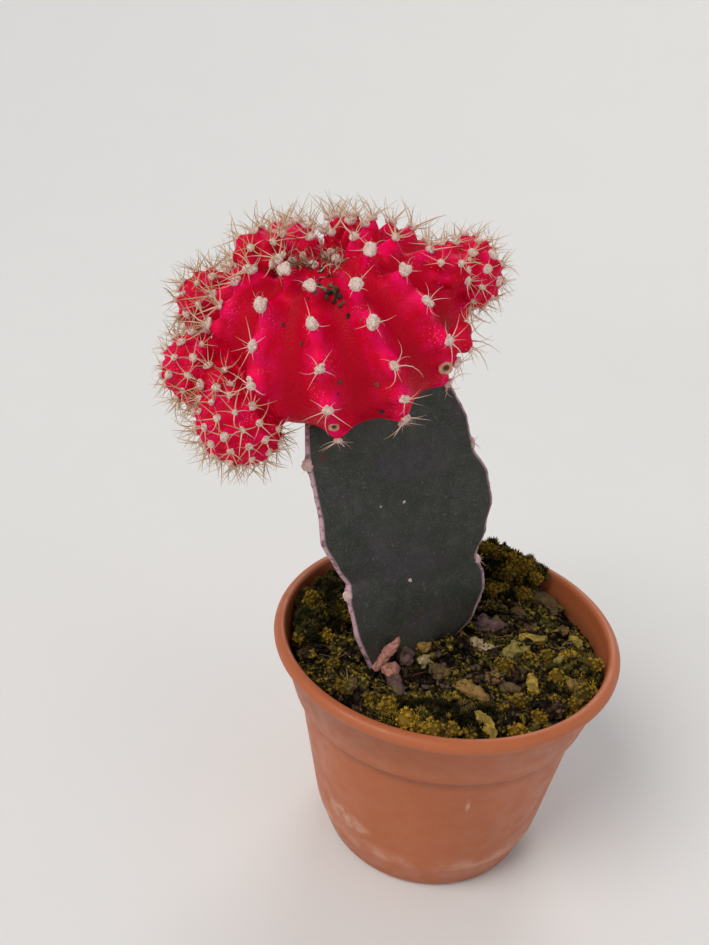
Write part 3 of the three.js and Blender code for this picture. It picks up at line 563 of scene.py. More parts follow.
class Group(Tree):
    """A node group with one output. Its inputs take their kind from their first value."""

    def __init__(self, name, kind, output, **inputs):
        super().__init__(bpy.data.node_groups.new(name, kind))
        for label, value in inputs.items():
            socket = self.tree.interface.new_socket(
                label.replace("_", " "), in_out="INPUT", socket_type=SOCKETS.get(type(value), value))
            if type(value) in SOCKETS:
                socket.default_value = value
        self.tree.interface.new_socket("Result", in_out="OUTPUT", socket_type=output)
        self.given = self.tree.nodes.new("NodeGroupInput").outputs
        self.result = self.tree.nodes.new("NodeGroupOutput").inputs[0]

    def __getitem__(self, name):
        return self.given[name]

    def close(self, output):
        self.tree.links.new(output, self.result)
        return self.tree


class Growth(Group):
    """A Geometry Nodes group that grows shapes on points or on a surface."""

    place_node, place_output = "GeometryNodeInputPosition", 0

    def __init__(self, name, **inputs):
        super().__init__(name, "GeometryNodeTree", GEOMETRY, **inputs, Seed=1, Material=MATERIAL)

    def reading(self, name, kind="FLOAT"):
        return self.node("GeometryNodeInputNamedAttribute", {"Name": name}, data_type=kind)["Attribute"]

    def stored(self, geometry, name, value, domain="POINT"):
        inputs = {"Geometry": geometry, "Name": name, "Value": value}
        return self.node("GeometryNodeStoreNamedAttribute", inputs, data_type="FLOAT", domain=domain)[0]

    def chance(self, low, high, turn):
        """Random number or vector for each point; turn keeps the draws of one tree apart."""
        first, output, kind = (0, 0, "FLOAT_VECTOR") if isinstance(low, tuple) else (2, 1, "FLOAT")
        inputs = {first: low, first + 1: high, "Seed": self.maths("ADD", self["Seed"], float(turn))}
        return self.node("FunctionNodeRandomValue", inputs, data_type=kind)[output]

    def aimed(self, direction):
        return self.node("FunctionNodeAlignRotationToVector", {"Vector": direction}, axis="Z")[0]

    def turned_to(self, direction, turn):
        """Rotation that stands a shape's Z along a direction, turned about it by chance."""
        aimed = self.aimed(direction)
        angle = self.chance(0.0, 2 * math.pi, turn)
        spin = self.node("FunctionNodeAxisAngleToRotation", {"Axis": (0, 0, 1), "Angle": angle})[0]
        inputs = {"Rotation": aimed, "Rotate By": spin}
        return self.node("FunctionNodeRotateRotation", inputs, rotation_space="LOCAL")[0]

    def facing(self):
        return self.turned_to(self.reading("facing", "FLOAT_VECTOR"), 2)

    def placed(self, points, shape, rotation, scale, more=None):
        inputs = {"Points": points, "Instance": shape, "Rotation": rotation, "Scale": scale, **(more or {})}
        return self.node("GeometryNodeInstanceOnPoints", inputs)[0]

    def ball(self):
        return self.node("GeometryNodeMeshIcoSphere", {"Radius": 1.0, "Subdivisions": self["Fineness"]})[0]

    def joined(self, *parts):
        join = self.tree.nodes.new("GeometryNodeJoinGeometry")
        for part in parts:
            self.tree.links.new(part, join.inputs[0])
        return join.outputs[0]

    def moved(self, geometry, offset):
        return self.node("GeometryNodeSetPosition", {"Geometry": geometry, "Offset": offset})[0]

    def pushed(self, geometry, amount):
        """Moves a surface along its normals."""
        return self.moved(geometry, self.scaled(self.node("GeometryNodeInputNormal")[0], amount))

    def lumped(self, geometry, size, height):
        """Pushes a surface in and out by noise of a size."""
        noise = self.texture("Noise", size, Detail=1.0)
        return self.pushed(geometry, self.times(self.maths("SUBTRACT", noise, 0.5), height))

    def finish(self, instances, refine=None):
        """Gives each instance a tone, makes it real, refines it if asked, and sets its material."""
        toned = self.stored(instances, "tone", self.chance(0.0, 1.0, 91), "INSTANCE")
        real = self.node("GeometryNodeRealizeInstances", {"Geometry": toned})[0]
        if refine:
            real = refine(real)
        smooth = self.node("GeometryNodeSetShadeSmooth", {"Geometry": real})[0]
        inputs = {"Geometry": smooth, "Material": self["Material"]}
        return self.close(self.node("GeometryNodeSetMaterial", inputs)[0])


def spine_tree():
    """A curved, tapered spine on each point, along its facing and as long as its length."""
    tree = Growth("curved_spines", Points=GEOMETRY, Thickness=0.045, Bend=0.15, Sides=5)
    kinds = []
    for share in (0.15, 0.6, 1.0, 1.5):
        middle = tree.combined(X=tree.times(tree["Bend"], share), Z=0.5)
        curve = tree.node("GeometryNodeCurveQuadraticBezier",
                          {"Resolution": 4, "Start": (0, 0, 0), "Middle": middle, "End": (0, 0, 1)})[0]
        factor = tree.node("GeometryNodeSplineParameter")["Factor"]
        profile = tree.node("GeometryNodeCurvePrimitiveCircle",
                            {"Resolution": tree["Sides"], "Radius": tree["Thickness"]})[0]
        tube = tree.node("GeometryNodeCurveToMesh",
                         {"Curve": tree.stored(curve, "along", factor), "Profile Curve": profile,
                          "Scale": tree.stretch(factor, 0.0, 1.0, 1.0, 0.12, "LINEAR"), "Fill Caps": True})[0]
        kinds.append(tree.node("GeometryNodeGeometryToInstance", {"Geometry": tube})[0])
    pick = tree.node("FunctionNodeRandomValue", {4: 0, 5: 3, "Seed": tree["Seed"]}, data_type="INT")[2]
    return tree.finish(tree.placed(tree["Points"], tree.joined(*kinds), tree.facing(), tree.reading("length"),
                                   {"Pick Instance": True, "Instance Index": pick}))


def wool_tree():
    """A lumpy pad of wool on each point, of the point's size and lying on its facing."""
    tree = Growth("wool_pads", Points=GEOMETRY, Fineness=3, Flatness=0.7, Tuft_Size=0.0004,
                  Tuft_Height=0.0003, Lump_Size=0.0007, Lump_Height=0.0007)
    size = tree.reading("size")
    scale = tree.combined(X=tree.times(size, tree.chance(0.8, 1.1, 5)),
                          Y=tree.times(size, tree.chance(0.95, 1.35, 6)),
                          Z=tree.times(size, tree["Flatness"]))

    def refine(real):
        bulge = tree.maths("SUBTRACT", 0.45, tree.texture("Voronoi", tree["Tuft Size"], "Distance"))
        tufted = tree.pushed(real, tree.times(bulge, tree["Tuft Height"]))
        return tree.lumped(tufted, tree["Lump Size"], tree["Lump Height"])

    return tree.finish(tree.placed(tree["Points"], tree.ball(), tree.facing(), scale), refine)


def crumb_tree():
    """Irregular crumbs strewn over a surface where its bare mask allows."""
    tree = Growth("strewn_crumbs", Surface=GEOMETRY, Density=100000.0, Smallest=0.0005, Largest=0.0015,
                  Unevenness=2.0, Fineness=2, Roughness=0.5, Lift=0.3)
    strewn = tree.node("GeometryNodeDistributePointsOnFaces",
                       {"Mesh": tree["Surface"], "Density": tree.times(tree["Density"], tree.reading("bare")),
                        "Seed": tree["Seed"]}, distribute_method="RANDOM")["Points"]
    draw = tree.maths("POWER", tree.chance(0.0, 1.0, 1), tree["Unevenness"])
    spread = tree.maths("SUBTRACT", tree["Largest"], tree["Smallest"])
    sized = tree.stored(strewn, "size", tree.maths("ADD", tree["Smallest"], tree.times(draw, spread)))
    size = tree.reading("size")
    raised = tree.moved(sized, tree.combined(Z=tree.times(size, tree["Lift"])))
    sides = {axis: tree.times(size, tree.chance(low, high, turn))
             for axis, low, high, turn in (("X", 0.8, 1.9, 11), ("Y", 0.6, 1.0, 12), ("Z", 0.45, 0.85, 13))}
    angles = tree.chance((-0.6, -0.6, 0.0), (0.6, 0.6, 6.283), 4)
    rotation = tree.node("FunctionNodeEulerToRotation", {"Euler": angles})[0]

    def refine(real):
        coarse = tree.lumped(real, tree.times(tree["Largest"], 0.8), tree.times(size, tree["Roughness"]))
        rise = tree.times(tree["Roughness"], 0.6, size)
        return tree.lumped(coarse, tree.times(tree["Largest"], 0.26), rise)

    return tree.finish(tree.placed(raised, tree.ball(), rotation, tree.combined(**sides)), refine)


def moss_tree():
    """Leafy moss shoots standing close together wherever a surface's mossy mask allows."""
    tree = Growth("moss_shoots", Surface=GEOMETRY, Spacing=0.0006, Density=3000000.0, Height=0.001,
                  Leaf_Width=0.15, Keep_Surface=False)
    strewn = tree.node("GeometryNodeDistributePointsOnFaces",
                       {"Mesh": tree["Surface"], "Distance Min": tree["Spacing"], "Seed": tree["Seed"],
                        "Density Max": tree["Density"], "Density Factor": tree.reading("mossy")},
                       distribute_method="POISSON")
    leaf = tree.node("GeometryNodeMeshCone", {"Vertices": 3, "Radius Top": 0.0, "Depth": 1.0,
                                              "Radius Bottom": tree["Leaf Width"]})[0]
    whorls = []
    for leaves, lean, reach, level in ((6, 66, 0.75, 0.1), (5, 42, 0.8, 0.25), (3, 16, 0.75, 0.35)):
        lean = math.radians(lean)
        ring = tree.node("GeometryNodeMeshCircle", {"Vertices": leaves, "Radius": WHORL_RADIUS})[0]
        outward = tree.scaled(tree.place(), math.sin(lean) / WHORL_RADIUS)
        aimed = tree.aimed(tree.vector("ADD", outward, (0, 0, math.cos(lean))))
        inputs = {"Geometry": tree.placed(ring, leaf, aimed, (1, 1, reach)), "Translation": (0, 0, level)}
        whorls.append(tree.node("GeometryNodeTransform", inputs)[0])
    leafy = tree.node("GeometryNodeRealizeInstances", {"Geometry": tree.joined(*whorls)})[0]
    shoot = tree.stored(leafy, "tip", tree.axis(tree.place(), 2))
    facing = tree.vector("ADD", strewn["Normal"], tree.chance((-0.5, -0.5, 0.2), (0.5, 0.5, 0.6), 8))
    size = tree.times(tree["Height"], tree.chance(0.6, 1.35, 7))

    def with_surface(real):
        hidden = tree.maths("SUBTRACT", 1.0, tree["Keep Surface"])
        inputs = {"Geometry": tree["Surface"], "Selection": hidden}
        return tree.joined(real, tree.node("GeometryNodeDeleteGeometry", inputs)[0])

    return tree.finish(tree.placed(strewn["Points"], shoot, tree.turned_to(facing, 9), size), with_surface)


def grow(name, base, tree, material, seed, **values):
    """Runs a Geometry Nodes tree on a base piece and keeps the result as a plain mesh."""
    modifier = base.modifiers.new("grow", "NODES")
    modifier.node_group = tree
    values.update(Material=material, Seed=seed)
    for item in tree.interface.items_tree:
        label = item.name.replace(" ", "_")
        if item.in_out == "INPUT" and label in values:
            modifier[item.identifier] = values[label]
    apply_modifiers(base)
    base.name = name
    base.data.name = name
    return base


# Materials

def patches_group():
    """Soft-edged patches of a size in metres: a mask from 0 to 1."""
    tree = Group("patches", "ShaderNodeTree", SOCKETS[float], Size=0.004, Detail=3.0, From=0.4, To=0.6,
                 Distortion=0.0)
    noise = tree.texture("Noise", tree["Size"], Detail=tree["Detail"], Distortion=tree["Distortion"])
    return tree.close(tree.stretch(noise, tree["From"], tree["To"]))


def grain_group():
    """Fine uneven grain as a height: noise mixed with small cells."""
    tree = Group("grain", "ShaderNodeTree", SOCKETS[float], Size=0.0003, Cells=0.5)
    noise = tree.texture("Noise", tree["Size"], Detail=4.0)
    cells = tree.texture("Voronoi", tree["Size"], "Distance")
    return tree.close(tree.node("ShaderNodeMix", {0: tree["Cells"], 2: noise, 3: cells})[0])


PATCHES = patches_group()
GRAIN = grain_group()


class Finish(Tree):
    """A material being put together: colours laid in turn, relief, and fixed values. Sizes in millimetres."""

    def __init__(self, name, colour, roughness, **fixed):
        self.material = bpy.data.materials.new(name)
        self.material.use_nodes = True
        super().__init__(self.material.node_tree)
        self.shader = self.tree.nodes["Principled BSDF"].inputs
        for key, value in {"Roughness": roughness, **fixed}.items():
            self.shader[key.replace("_", " ")].default_value = value
        self.colour = (*colour, 1)

    def group(self, tree, **inputs):
        return self.node("ShaderNodeGroup", inputs, node_tree=tree)[0]

    def patches(self, size, low=0.4, high=0.6, detail=3.0, distortion=0.0):
        return self.group(PATCHES, Size=size * MM, From=low, To=high, Detail=detail, Distortion=distortion)

    def grain(self, size, cells=0.5):
        return self.group(GRAIN, Size=size * MM, Cells=cells)

    def attribute(self, name, output="Fac"):
        return self.node("ShaderNodeAttribute", attribute_name=name)[output]

    def cells(self, size):
        """Distance from the middle of the nearest cell, from 0 to about 1."""
        return self.texture("Voronoi", size * MM, "Distance")

    def upper_side(self, low, high):
        """Mask of what faces up, where moss and light dust settle."""
        return self.stretch(self.axis(self.node("ShaderNodeNewGeometry")["Normal"], 2), low, high)

    def spot(self, place, reach):
        """Soft round mask about a place, with a reach along each axis."""
        away = self.vector("SUBTRACT", self.place(), tuple(place * MM))
        scaled = self.vector("DIVIDE", away, tuple(np.array(reach) * MM))
        return self.fade(self.vector("LENGTH", scaled, output="Value"), 0.3, 1.0)

    def peak(self, value, low, middle, high):
        """1 at the middle, falling to 0 on both sides."""
        return self.times(self.stretch(value, low, middle), self.fade(value, middle, high))

    def blend(self, colour, *masks):
        """Lays a colour over what is there, as strongly as the masks together say."""
        inputs = {0: self.times(*masks), 6: self.colour, 7: (*colour, 1)}
        self.colour = self.node("ShaderNodeMix", inputs, data_type="RGBA", clamp_factor=True)[2]

    def bump(self, height, distance, strength=1.0):
        """Adds relief."""
        inputs = {"Height": height, "Distance": distance * MM, "Strength": strength}
        before = self.shader["Normal"].links
        if before:
            inputs["Normal"] = before[0].from_socket
        self.tree.links.new(self.node("ShaderNodeBump", inputs)[0], self.shader["Normal"])

    def roughness(self, mask, low, high):
        self.tree.links.new(self.stretch(mask, 0.0, 1.0, low, high, "LINEAR"), self.shader["Roughness"])

    def done(self):
        self.tree.links.new(self.colour, self.shader["Base Color"])
        return self.material


def pot_plastic(pot):
    """Terracotta-coloured plastic: satin, scuffed, a chalky band with painted highlight above the foot, and
    painted shade.
    """
    finish = Finish("pot_plastic", (0.43, 0.118, 0.042), 0.42, Specular_IOR_Level=0.35)
    finish.blend((0.34, 0.088, 0.030), finish.patches(16, 0.35, 0.65), 0.35)
    finish.blend((0.55, 0.23, 0.12), finish.patches(1.6, 0.58, 0.78, 4), 0.10)
    height = finish.axis(finish.place(), 2)
    # Pale band on the shoulder: partly chalky wear, partly painted highlight.
    band = finish.peak(height, 0.0060, 0.0078, 0.0112)
    finish.blend((0.62, 0.37, 0.26), band, finish.patches(4, 0.3, 0.65), 0.45)
    for x, y, reach, strength in POT_STAINS:
        stain = finish.spot(seen_on(pot, x, y)[0], reach)
        finish.blend((0.60, 0.38, 0.27), stain, finish.patches(1.6, 0.3, 0.62), strength)
    # Painted shade: the foot under the shoulder is darkened.
    finish.blend((0.27, 0.075, 0.03), finish.fade(height, 0.0, 0.006, 0.45))
    # Painted shadow of the collar, in a band just under it.
    finish.blend((0.17, 0.05, 0.02), finish.peak(height, 0.0290, 0.0314, 0.0335), 0.4)
    # Painted shade on the inner wall, darker lower down inside the pot.
    finish.blend((0.14, 0.055, 0.022), finish.fade(height, 0.0385, 0.0425), finish.attribute("inner"), 0.6)
    finish.roughness(finish.patches(3, 0.3, 0.7, 5), 0.36, 0.55)
    finish.bump(finish.grain(0.5, 0.2), 0.03, 0.5)
    return finish.done()


def stem_skin():
    """Dull dark grey-green skin under fine violet-grey scurf, with a horny pink-mauve edge."""
    finish = Finish("stem_skin", (0.025, 0.031, 0.022), 0.55, Specular_IOR_Level=0.3)
    finish.blend((0.040, 0.044, 0.036), finish.patches(7, 0.4, 0.62), 0.7)
    finish.blend((0.045, 0.038, 0.046), finish.patches(10, 0.50, 0.66, 2), 0.7)
    finish.blend((0.058, 0.058, 0.053), finish.patches(1.7, 0.46, 0.68, 6, 0.5), 0.45)
    finish.blend((0.095, 0.090, 0.098), finish.patches(0.28, 0.50, 0.72, 2), 0.5)
    finish.blend((0.20, 0.185, 0.19), finish.patches(0.5, 0.67, 0.76, 1), 0.35)
    foot = finish.fade(finish.axis(finish.place(), 2), 0.041, 0.052)
    finish.blend((0.060, 0.042, 0.024), foot, finish.patches(3, 0.35, 0.6), 0.5)
    finish.blend((0.085, 0.026, 0.020), finish.attribute("graze"), finish.patches(0.8, 0.2, 0.5))
    edge = finish.attribute("edge")
    finish.blend((0.50, 0.31, 0.36), edge, finish.patches(1.4, 0.1, 0.45))
    finish.blend((0.15, 0.075, 0.085), finish.patches(0.9, 0.5, 0.6), 0.85, edge)
    finish.roughness(finish.patches(2, 0.3, 0.7), 0.48, 0.68)
    finish.bump(finish.grain(0.3, 0.4), 0.05, 0.5)
    finish.bump(finish.patches(1.4, 0.3, 0.7, 4), 0.05, 0.5)
    return finish.done()


def red_flesh():
    """Waxy crimson flesh lit from within: painted shade in furrows, magenta and painted highlight on crests,
    painted glints on fine cells.
    """
    finish = Finish("red_flesh", (0.59, 0.0002, 0.022), 0.5, Specular_IOR_Level=0.07, Subsurface_Weight=0.15,
                    Subsurface_Scale=0.0018, Subsurface_Radius=(1.0, 0.05, 0.12))
    crest = finish.attribute("crest")
    finish.blend((0.50, 0.0002, 0.017), finish.patches(5, 0.4, 0.62), 0.5)
    # Painted shade in the furrows between the ribs.
    finish.blend((0.36, 0.0001, 0.009), finish.fade(crest, 0.0, 0.3), 0.55)
    # Painted highlight along the crests: the red made brighter there.
    ridge = finish.stretch(crest, 0.35, 1.0)
    finish.blend((0.92, 0.001, 0.085), ridge, finish.patches(5, 0.25, 0.62), 0.95)
    # Magenta on the crests: partly the flesh's own tint, partly painted highlight.
    finish.blend((0.90, 0.003, 0.165), crest, 0.6, finish.patches(2.2, 0.44, 0.64))
    # Painted glints: small bright pink specks in patches near the crests.
    glints = finish.fade(finish.cells(0.40), 0.12, 0.34)
    where = finish.times(finish.patches(3.5, 0.44, 0.58), finish.stretch(crest, 0.1, 0.5))
    finish.blend((0.98, 0.13, 0.27), glints, where, 0.55)
    finish.roughness(finish.patches(1.5, 0.3, 0.7), 0.42, 0.56)
    finish.bump(finish.cells(0.36), 0.10, 0.8)
    finish.bump(finish.patches(0.9, 0.3, 0.7), 0.04, 0.5)
    return finish.done()


def wool_felt():
    """Cream wool in packed tufts, a little pink, with darker strands and pink patches that are partly painted
    shade.
    """
    finish = Finish("wool_felt", (0.98, 0.78, 0.69), 0.95, Sheen_Weight=0.2)
    finish.blend((0.84, 0.62, 0.55), finish.attribute("tone"), 0.5)
    finish.blend((0.42, 0.19, 0.15), finish.patches(0.42, 0.50, 0.60, 1, 3.0), 0.6)
    finish.blend((0.56, 0.33, 0.37), finish.attribute("blush"))
    # Pink patches: partly the wool's tint, partly painted shade.
    finish.blend((0.72, 0.36, 0.34), finish.patches(0.9, 0.52, 0.68), 0.4)
    finish.bump(finish.patches(0.3, 0.3, 0.7, 2, 2.5), 0.08, 0.9)
    return finish.done()


def spine_horn():
    """Straw-coloured horn, from olive-tan to pinkish white, browner at the tip."""
    finish = Finish("spine_horn", (0.58, 0.43, 0.22), 0.45, Specular_IOR_Level=0.4)
    finish.blend((0.82, 0.66, 0.48), finish.stretch(finish.attribute("tone"), 0.2, 0.9), 0.85)
    finish.blend((0.86, 0.60, 0.54), finish.attribute("blush"))
    finish.blend((0.36, 0.24, 0.11), finish.attribute("along"), 0.5)
    finish.blend((0.42, 0.32, 0.15), finish.patches(0.8, 0.5, 0.7), 0.3)
    finish.bump(finish.grain(0.12, 0.2), 0.02, 0.6)
    return finish.done()


def scar_cork():
    """Pale cork, dark in its pit."""
    finish = Finish("scar_cork", (0.50, 0.22, 0.13), 0.85)
    finish.blend((0.66, 0.42, 0.28), finish.patches(0.7, 0.4, 0.65))
    finish.blend((0.09, 0.035, 0.025), finish.attribute("pit"))
    finish.bump(finish.grain(0.25, 0.4), 0.1, 0.9)
    return finish.done()


def peat_mix():
    """Dark peat and fine bark in grains: some crumbs browner, some greyer, some mossy on top, painted shade
    in the gaps.
    """
    finish = Finish("peat_mix", (0.013, 0.009, 0.007), 0.95, Specular_IOR_Level=0.05)
    tone = finish.attribute("tone")
    finish.blend((0.060, 0.034, 0.018), finish.stretch(tone, 0.40, 0.65), 0.8)
    finish.blend((0.125, 0.075, 0.060), finish.stretch(tone, 0.70, 0.82), 0.8)
    finish.blend((0.25, 0.14, 0.06), finish.stretch(tone, 0.90, 0.98), 0.75)
    finish.blend((0.045, 0.030, 0.020), finish.patches(1.1, 0.45, 0.7), 0.5)
    green = finish.times(finish.patches(4, 0.42, 0.56), finish.upper_side(0.0, 0.7))
    finish.blend((0.095, 0.080, 0.018), green, 0.7)
    finish.blend((0.36, 0.24, 0.03), green, finish.patches(1.1, 0.48, 0.60), 0.85)
    gaps = finish.cells(0.7)
    # Painted shade: near black in the gaps between the cells of grain.
    finish.blend((0.003, 0.002, 0.002), finish.stretch(gaps, 0.35, 0.75), 0.9)
    finish.bump(finish.maths("SUBTRACT", 1.0, gaps), 0.3, 0.9)
    finish.bump(finish.grain(0.3, 0.4), 0.12, 0.9)
    return finish.done()


def moss_green():
    """Moss, dark at its foot from brown stems and painted shade, and olive, brown or golden yellow at its
    tips by patch.
    """
    finish = Finish("moss_green", (0.011, 0.009, 0.004), 0.85, Specular_IOR_Level=0.05)
    # Dark at the foot, lighter at the tips: partly brown stems, partly painted shade among the shoots.
    tips = finish.stretch(finish.attribute("tip"), 0.1, 0.75)
    finish.blend((0.075, 0.068, 0.016), tips, 0.9)
    finish.blend((0.15, 0.12, 0.026), finish.attribute("tone"), 0.7, tips)
    finish.blend((0.20, 0.125, 0.045), finish.patches(4, 0.50, 0.60), 0.7, tips)
    finish.blend((0.40, 0.26, 0.024), finish.patches(3.2, 0.54, 0.62, 4), 0.9, tips)
    # Painted shade: near-black patches for the shaded gaps among the moss.
    finish.blend((0.006, 0.005, 0.003), finish.patches(3.4, 0.46, 0.56), 0.85)
    # Painted shade: darker towards the left side of the pot.
    finish.blend((0.018, 0.018, 0.007), finish.fade(finish.axis(finish.place(), 0), -0.022, 0.002, 0.55))
    gold = finish.attribute("gold")
    finish.blend((0.25, 0.15, 0.018), gold, 0.85)
    finish.blend((0.68, 0.41, 0.045), tips, gold)
    finish.bump(finish.grain(0.2, 0.4), 0.05, 0.8)
    return finish.done()


def bark_wood():
    """Bark and wood bits: fibrous, each of its own tint, with dark cracks and pale scuffs."""
    finish = Finish("bark_wood", (0.27, 0.145, 0.050), 0.85, Specular_IOR_Level=0.25)
    finish.colour = finish.attribute("tint", "Color")
    finish.blend((0.050, 0.030, 0.020), finish.patches(0.9, 0.48, 0.65, 4), 0.55)
    finish.blend((0.42, 0.30, 0.18), finish.patches(0.5, 0.6, 0.75), 0.3)
    mossy = finish.times(finish.patches(1.6, 0.46, 0.60), finish.upper_side(-0.1, 0.6))
    finish.blend((0.14, 0.11, 0.02), mossy, finish.attribute("mossiness"))
    finish.bump(finish.grain(0.3, 0.5), 0.2, 1.0)
    finish.bump(finish.patches(0.8, 0.3, 0.7, 4), 0.2, 0.8)
    return finish.done()


def floor_paint():
    """Pale matt paint with a faint unevenness."""
    finish = Finish("floor_paint", (0.74, 0.735, 0.725), 0.75)
    finish.blend((0.70, 0.695, 0.685), finish.patches(40, 0.3, 0.7), 0.15)
    finish.bump(finish.grain(1.2, 0.1), 0.03, 0.3)
    return finish.done()


# Pot

def softened(corners, radius, steps):
    """A profile with its inner corners rounded off."""
    corners = [np.array(corner, dtype=float) for corner in corners]
    outline = [corners[0]]
    for before, corner, after in zip(corners, corners[1:], corners[2:]):
        back = before - corner
        ahead = after - corner
        cut = min(radius, 0.45 * np.linalg.norm(back), 0.45 * np.linalg.norm(ahead))
        start = corner + unit(back) * cut
        end = corner + unit(ahead) * cut
        outline += [bezier(start, corner, end, step / steps) for step in range(steps + 1)]
    return outline + [corners[-1]]


def lathe_rings(profile, columns):
    turn = full_turn(columns)
    plan = np.stack([np.cos(turn), np.sin(turn)], axis=-1)
    return np.array([np.column_stack([plan * radius, np.full(columns, z)]) for radius, z in profile])


def inner_wall():
    return [
        (FOOT_RADIUS - 1.5, POT_WALL),
        (SHOULDER_RADIUS - POT_WALL, SHOULDER_Z + 0.3),
        (BODY_TOP_RADIUS - POT_WALL, BODY_TOP_Z),
        (COLLAR_FOOT_RADIUS - POT_WALL, COLLAR_FOOT_Z),
        (COLLAR_TOP_RADIUS - POT_WALL, POT_HEIGHT - LIP_DEPTH),
    ]


def inner_floor():
    return [
        (0, POT_WALL),
        (PAD_RADIUS - FLOOR_SLOPE, POT_WALL),
        (CHANNEL_INNER_RADIUS - FLOOR_SLOPE, POT_WALL + CHANNEL_RISE),
        (CHANNEL_OUTER_RADIUS + FLOOR_SLOPE, POT_WALL + CHANNEL_RISE),
        (FOOT_RING_INNER_RADIUS + FLOOR_SLOPE, POT_WALL),
    ]


def fill_radius(z):
    """Radius of the filling at a height, clear of the pot's inner wall."""
    radii, heights = np.array(inner_wall()).T
    top_slope = (radii[-1] - radii[-2]) / (heights[-1] - heights[-2])
    return np.interp(z, heights, radii) + np.maximum(0, z - heights[-1]) * top_slope - WALL_GAP


def make_pot():
    lip_radius = LIP_DEPTH / 2
    lower = [
        (0, 0),
        (PAD_RADIUS, 0),
        (CHANNEL_INNER_RADIUS, CHANNEL_RISE),
        (CHANNEL_OUTER_RADIUS, CHANNEL_RISE),
        (FOOT_RING_INNER_RADIUS, 0),
        (FOOT_RING_OUTER_RADIUS, 0),
        (FOOT_RADIUS, 0.9),
        (SHOULDER_RADIUS, SHOULDER_Z),
        (BODY_TOP_RADIUS, BODY_TOP_Z),
        (COLLAR_FOOT_RADIUS, COLLAR_FOOT_Z),
        (COLLAR_TOP_RADIUS, POT_HEIGHT - LIP_DEPTH),
    ]
    lip_z = POT_HEIGHT - lip_radius
    lip = [(COLLAR_TOP_RADIUS + lip_radius * math.cos(angle), lip_z + lip_radius * math.sin(angle))
           for angle in np.radians(np.linspace(-85, 90, LIP_STEPS + 1))]
    upper = [
        (POT_RIM_RADIUS - LIP_WIDTH + 0.4, POT_HEIGHT),
        (POT_RIM_RADIUS - LIP_WIDTH, POT_HEIGHT - 0.5),
        *inner_wall()[::-1],
        *inner_floor()[::-1],
    ]
    profile = softened(lower, 0.55, 4) + lip + softened(upper, 0.5, 4)
    rings = lathe_rings(profile[1:-1], POT_COLUMNS)
    inner = np.repeat(np.arange(len(rings)) > len(rings) - len(upper) * 4, POT_COLUMNS).astype(float)
    pot = make_piece("pot_shell", *skin_mesh(rings, [0, 0, profile[0][1]], [0, 0, profile[-1][1]]),
                     {"inner": np.append(inner, [0, 1])})
    for hole in range(DRAIN_HOLES):
        angle = (hole + 0.5) * 2 * math.pi / DRAIN_HOLES
        centre = np.array([DRAIN_RING_RADIUS * math.cos(angle), DRAIN_RING_RADIUS * math.sin(angle), 0])
        drill = lathe_rings([(DRAIN_HOLE_RADIUS, -2), (DRAIN_HOLE_RADIUS, 4)], 40) + centre
        carve(pot, make_piece("drill", *skin_mesh(drill, centre + [0, 0, -2], centre + [0, 0, 4])))
    return dress(pot, pot_plastic([surface_of(pot)]))


# Potting mix

def soil_height(x, y):
    height = SOIL_LEVEL + 0 * x
    for hump in SOIL_HUMPS:
        height = height + hump["rise"] * bell(np.hypot(x - hump["x"], y - hump["y"]), hump["spread"])
    coarse = plane_noise(x / 5, y / 5, SOIL_SEED)
    fine = plane_noise(x / 2.3 + 40, y / 2.3, SOIL_SEED + 1)
    return height + SOIL_ROUGHNESS * (0.6 * coarse + 0.4 * fine)


def mix_height(x, y):
    """The mix's surface with its small crumbs."""
    crumbs = 0.35 * plane_noise(x / 1.1, y / 1.1, 51)
    return soil_height(x, y) + crumbs + 0.15 * plane_noise(x / 0.5, y / 0.5, 52)


def mix_top_rings():
    top_radius = fill_radius(SOIL_LEVEL)
    turn = full_turn(SOIL_COLUMNS)
    rings = []
    for step in range(SOIL_RINGS):
        radius = top_radius * (1 - (step + 0.1) / SOIL_RINGS)
        x = radius * np.cos(turn)
        y = radius * np.sin(turn)
        edge = smoothstep(radius, top_radius - 1.5, top_radius)
        rings.append(np.stack([x, y, mix_height(x, y) - SOIL_EDGE_DROP * edge], axis=-1))
    return np.array(rings)


def make_mix(stem_pocket, material):
    floor = [(radius, z + WALL_GAP) for radius, z in inner_floor()]
    levels = [POT_WALL + WALL_GAP + 0.1, SHOULDER_Z, BODY_TOP_Z, COLLAR_FOOT_Z, SOIL_LEVEL - 2.2]
    lower = lathe_rings(floor[1:] + [(fill_radius(z), z) for z in levels], SOIL_COLUMNS)
    rings = np.concatenate([lower, mix_top_rings()])
    mesh = skin_mesh(rings, [0, 0, floor[0][1]], [0, 0, mix_height(0.0, 0.0)])
    return dress(carve(make_piece("mix_body", *mesh), stem_pocket), material)


def cushion_frame(cushion, along, away):
    """Turns sizes along and away from a cushion's own length into the pot's x and y."""
    bend = math.radians(cushion["turn"])
    return along * math.cos(bend) - away * math.sin(bend), along * math.sin(bend) + away * math.cos(bend)


def cushion_cover(x, y):
    """1 inside a moss cushion's outline, falling to 0 outside it."""
    cover = 0 * x
    for cushion in MOSS_CUSHIONS:
        back = {"turn": -cushion["turn"]}
        along, away = cushion_frame(back, x - cushion["x"], y - cushion["y"])
        inside = 1 - smoothstep(np.hypot(along / cushion["reach"], away / cushion["depth"]), 0.6, 0.9)
        cover = np.maximum(cover, inside)
    return cover


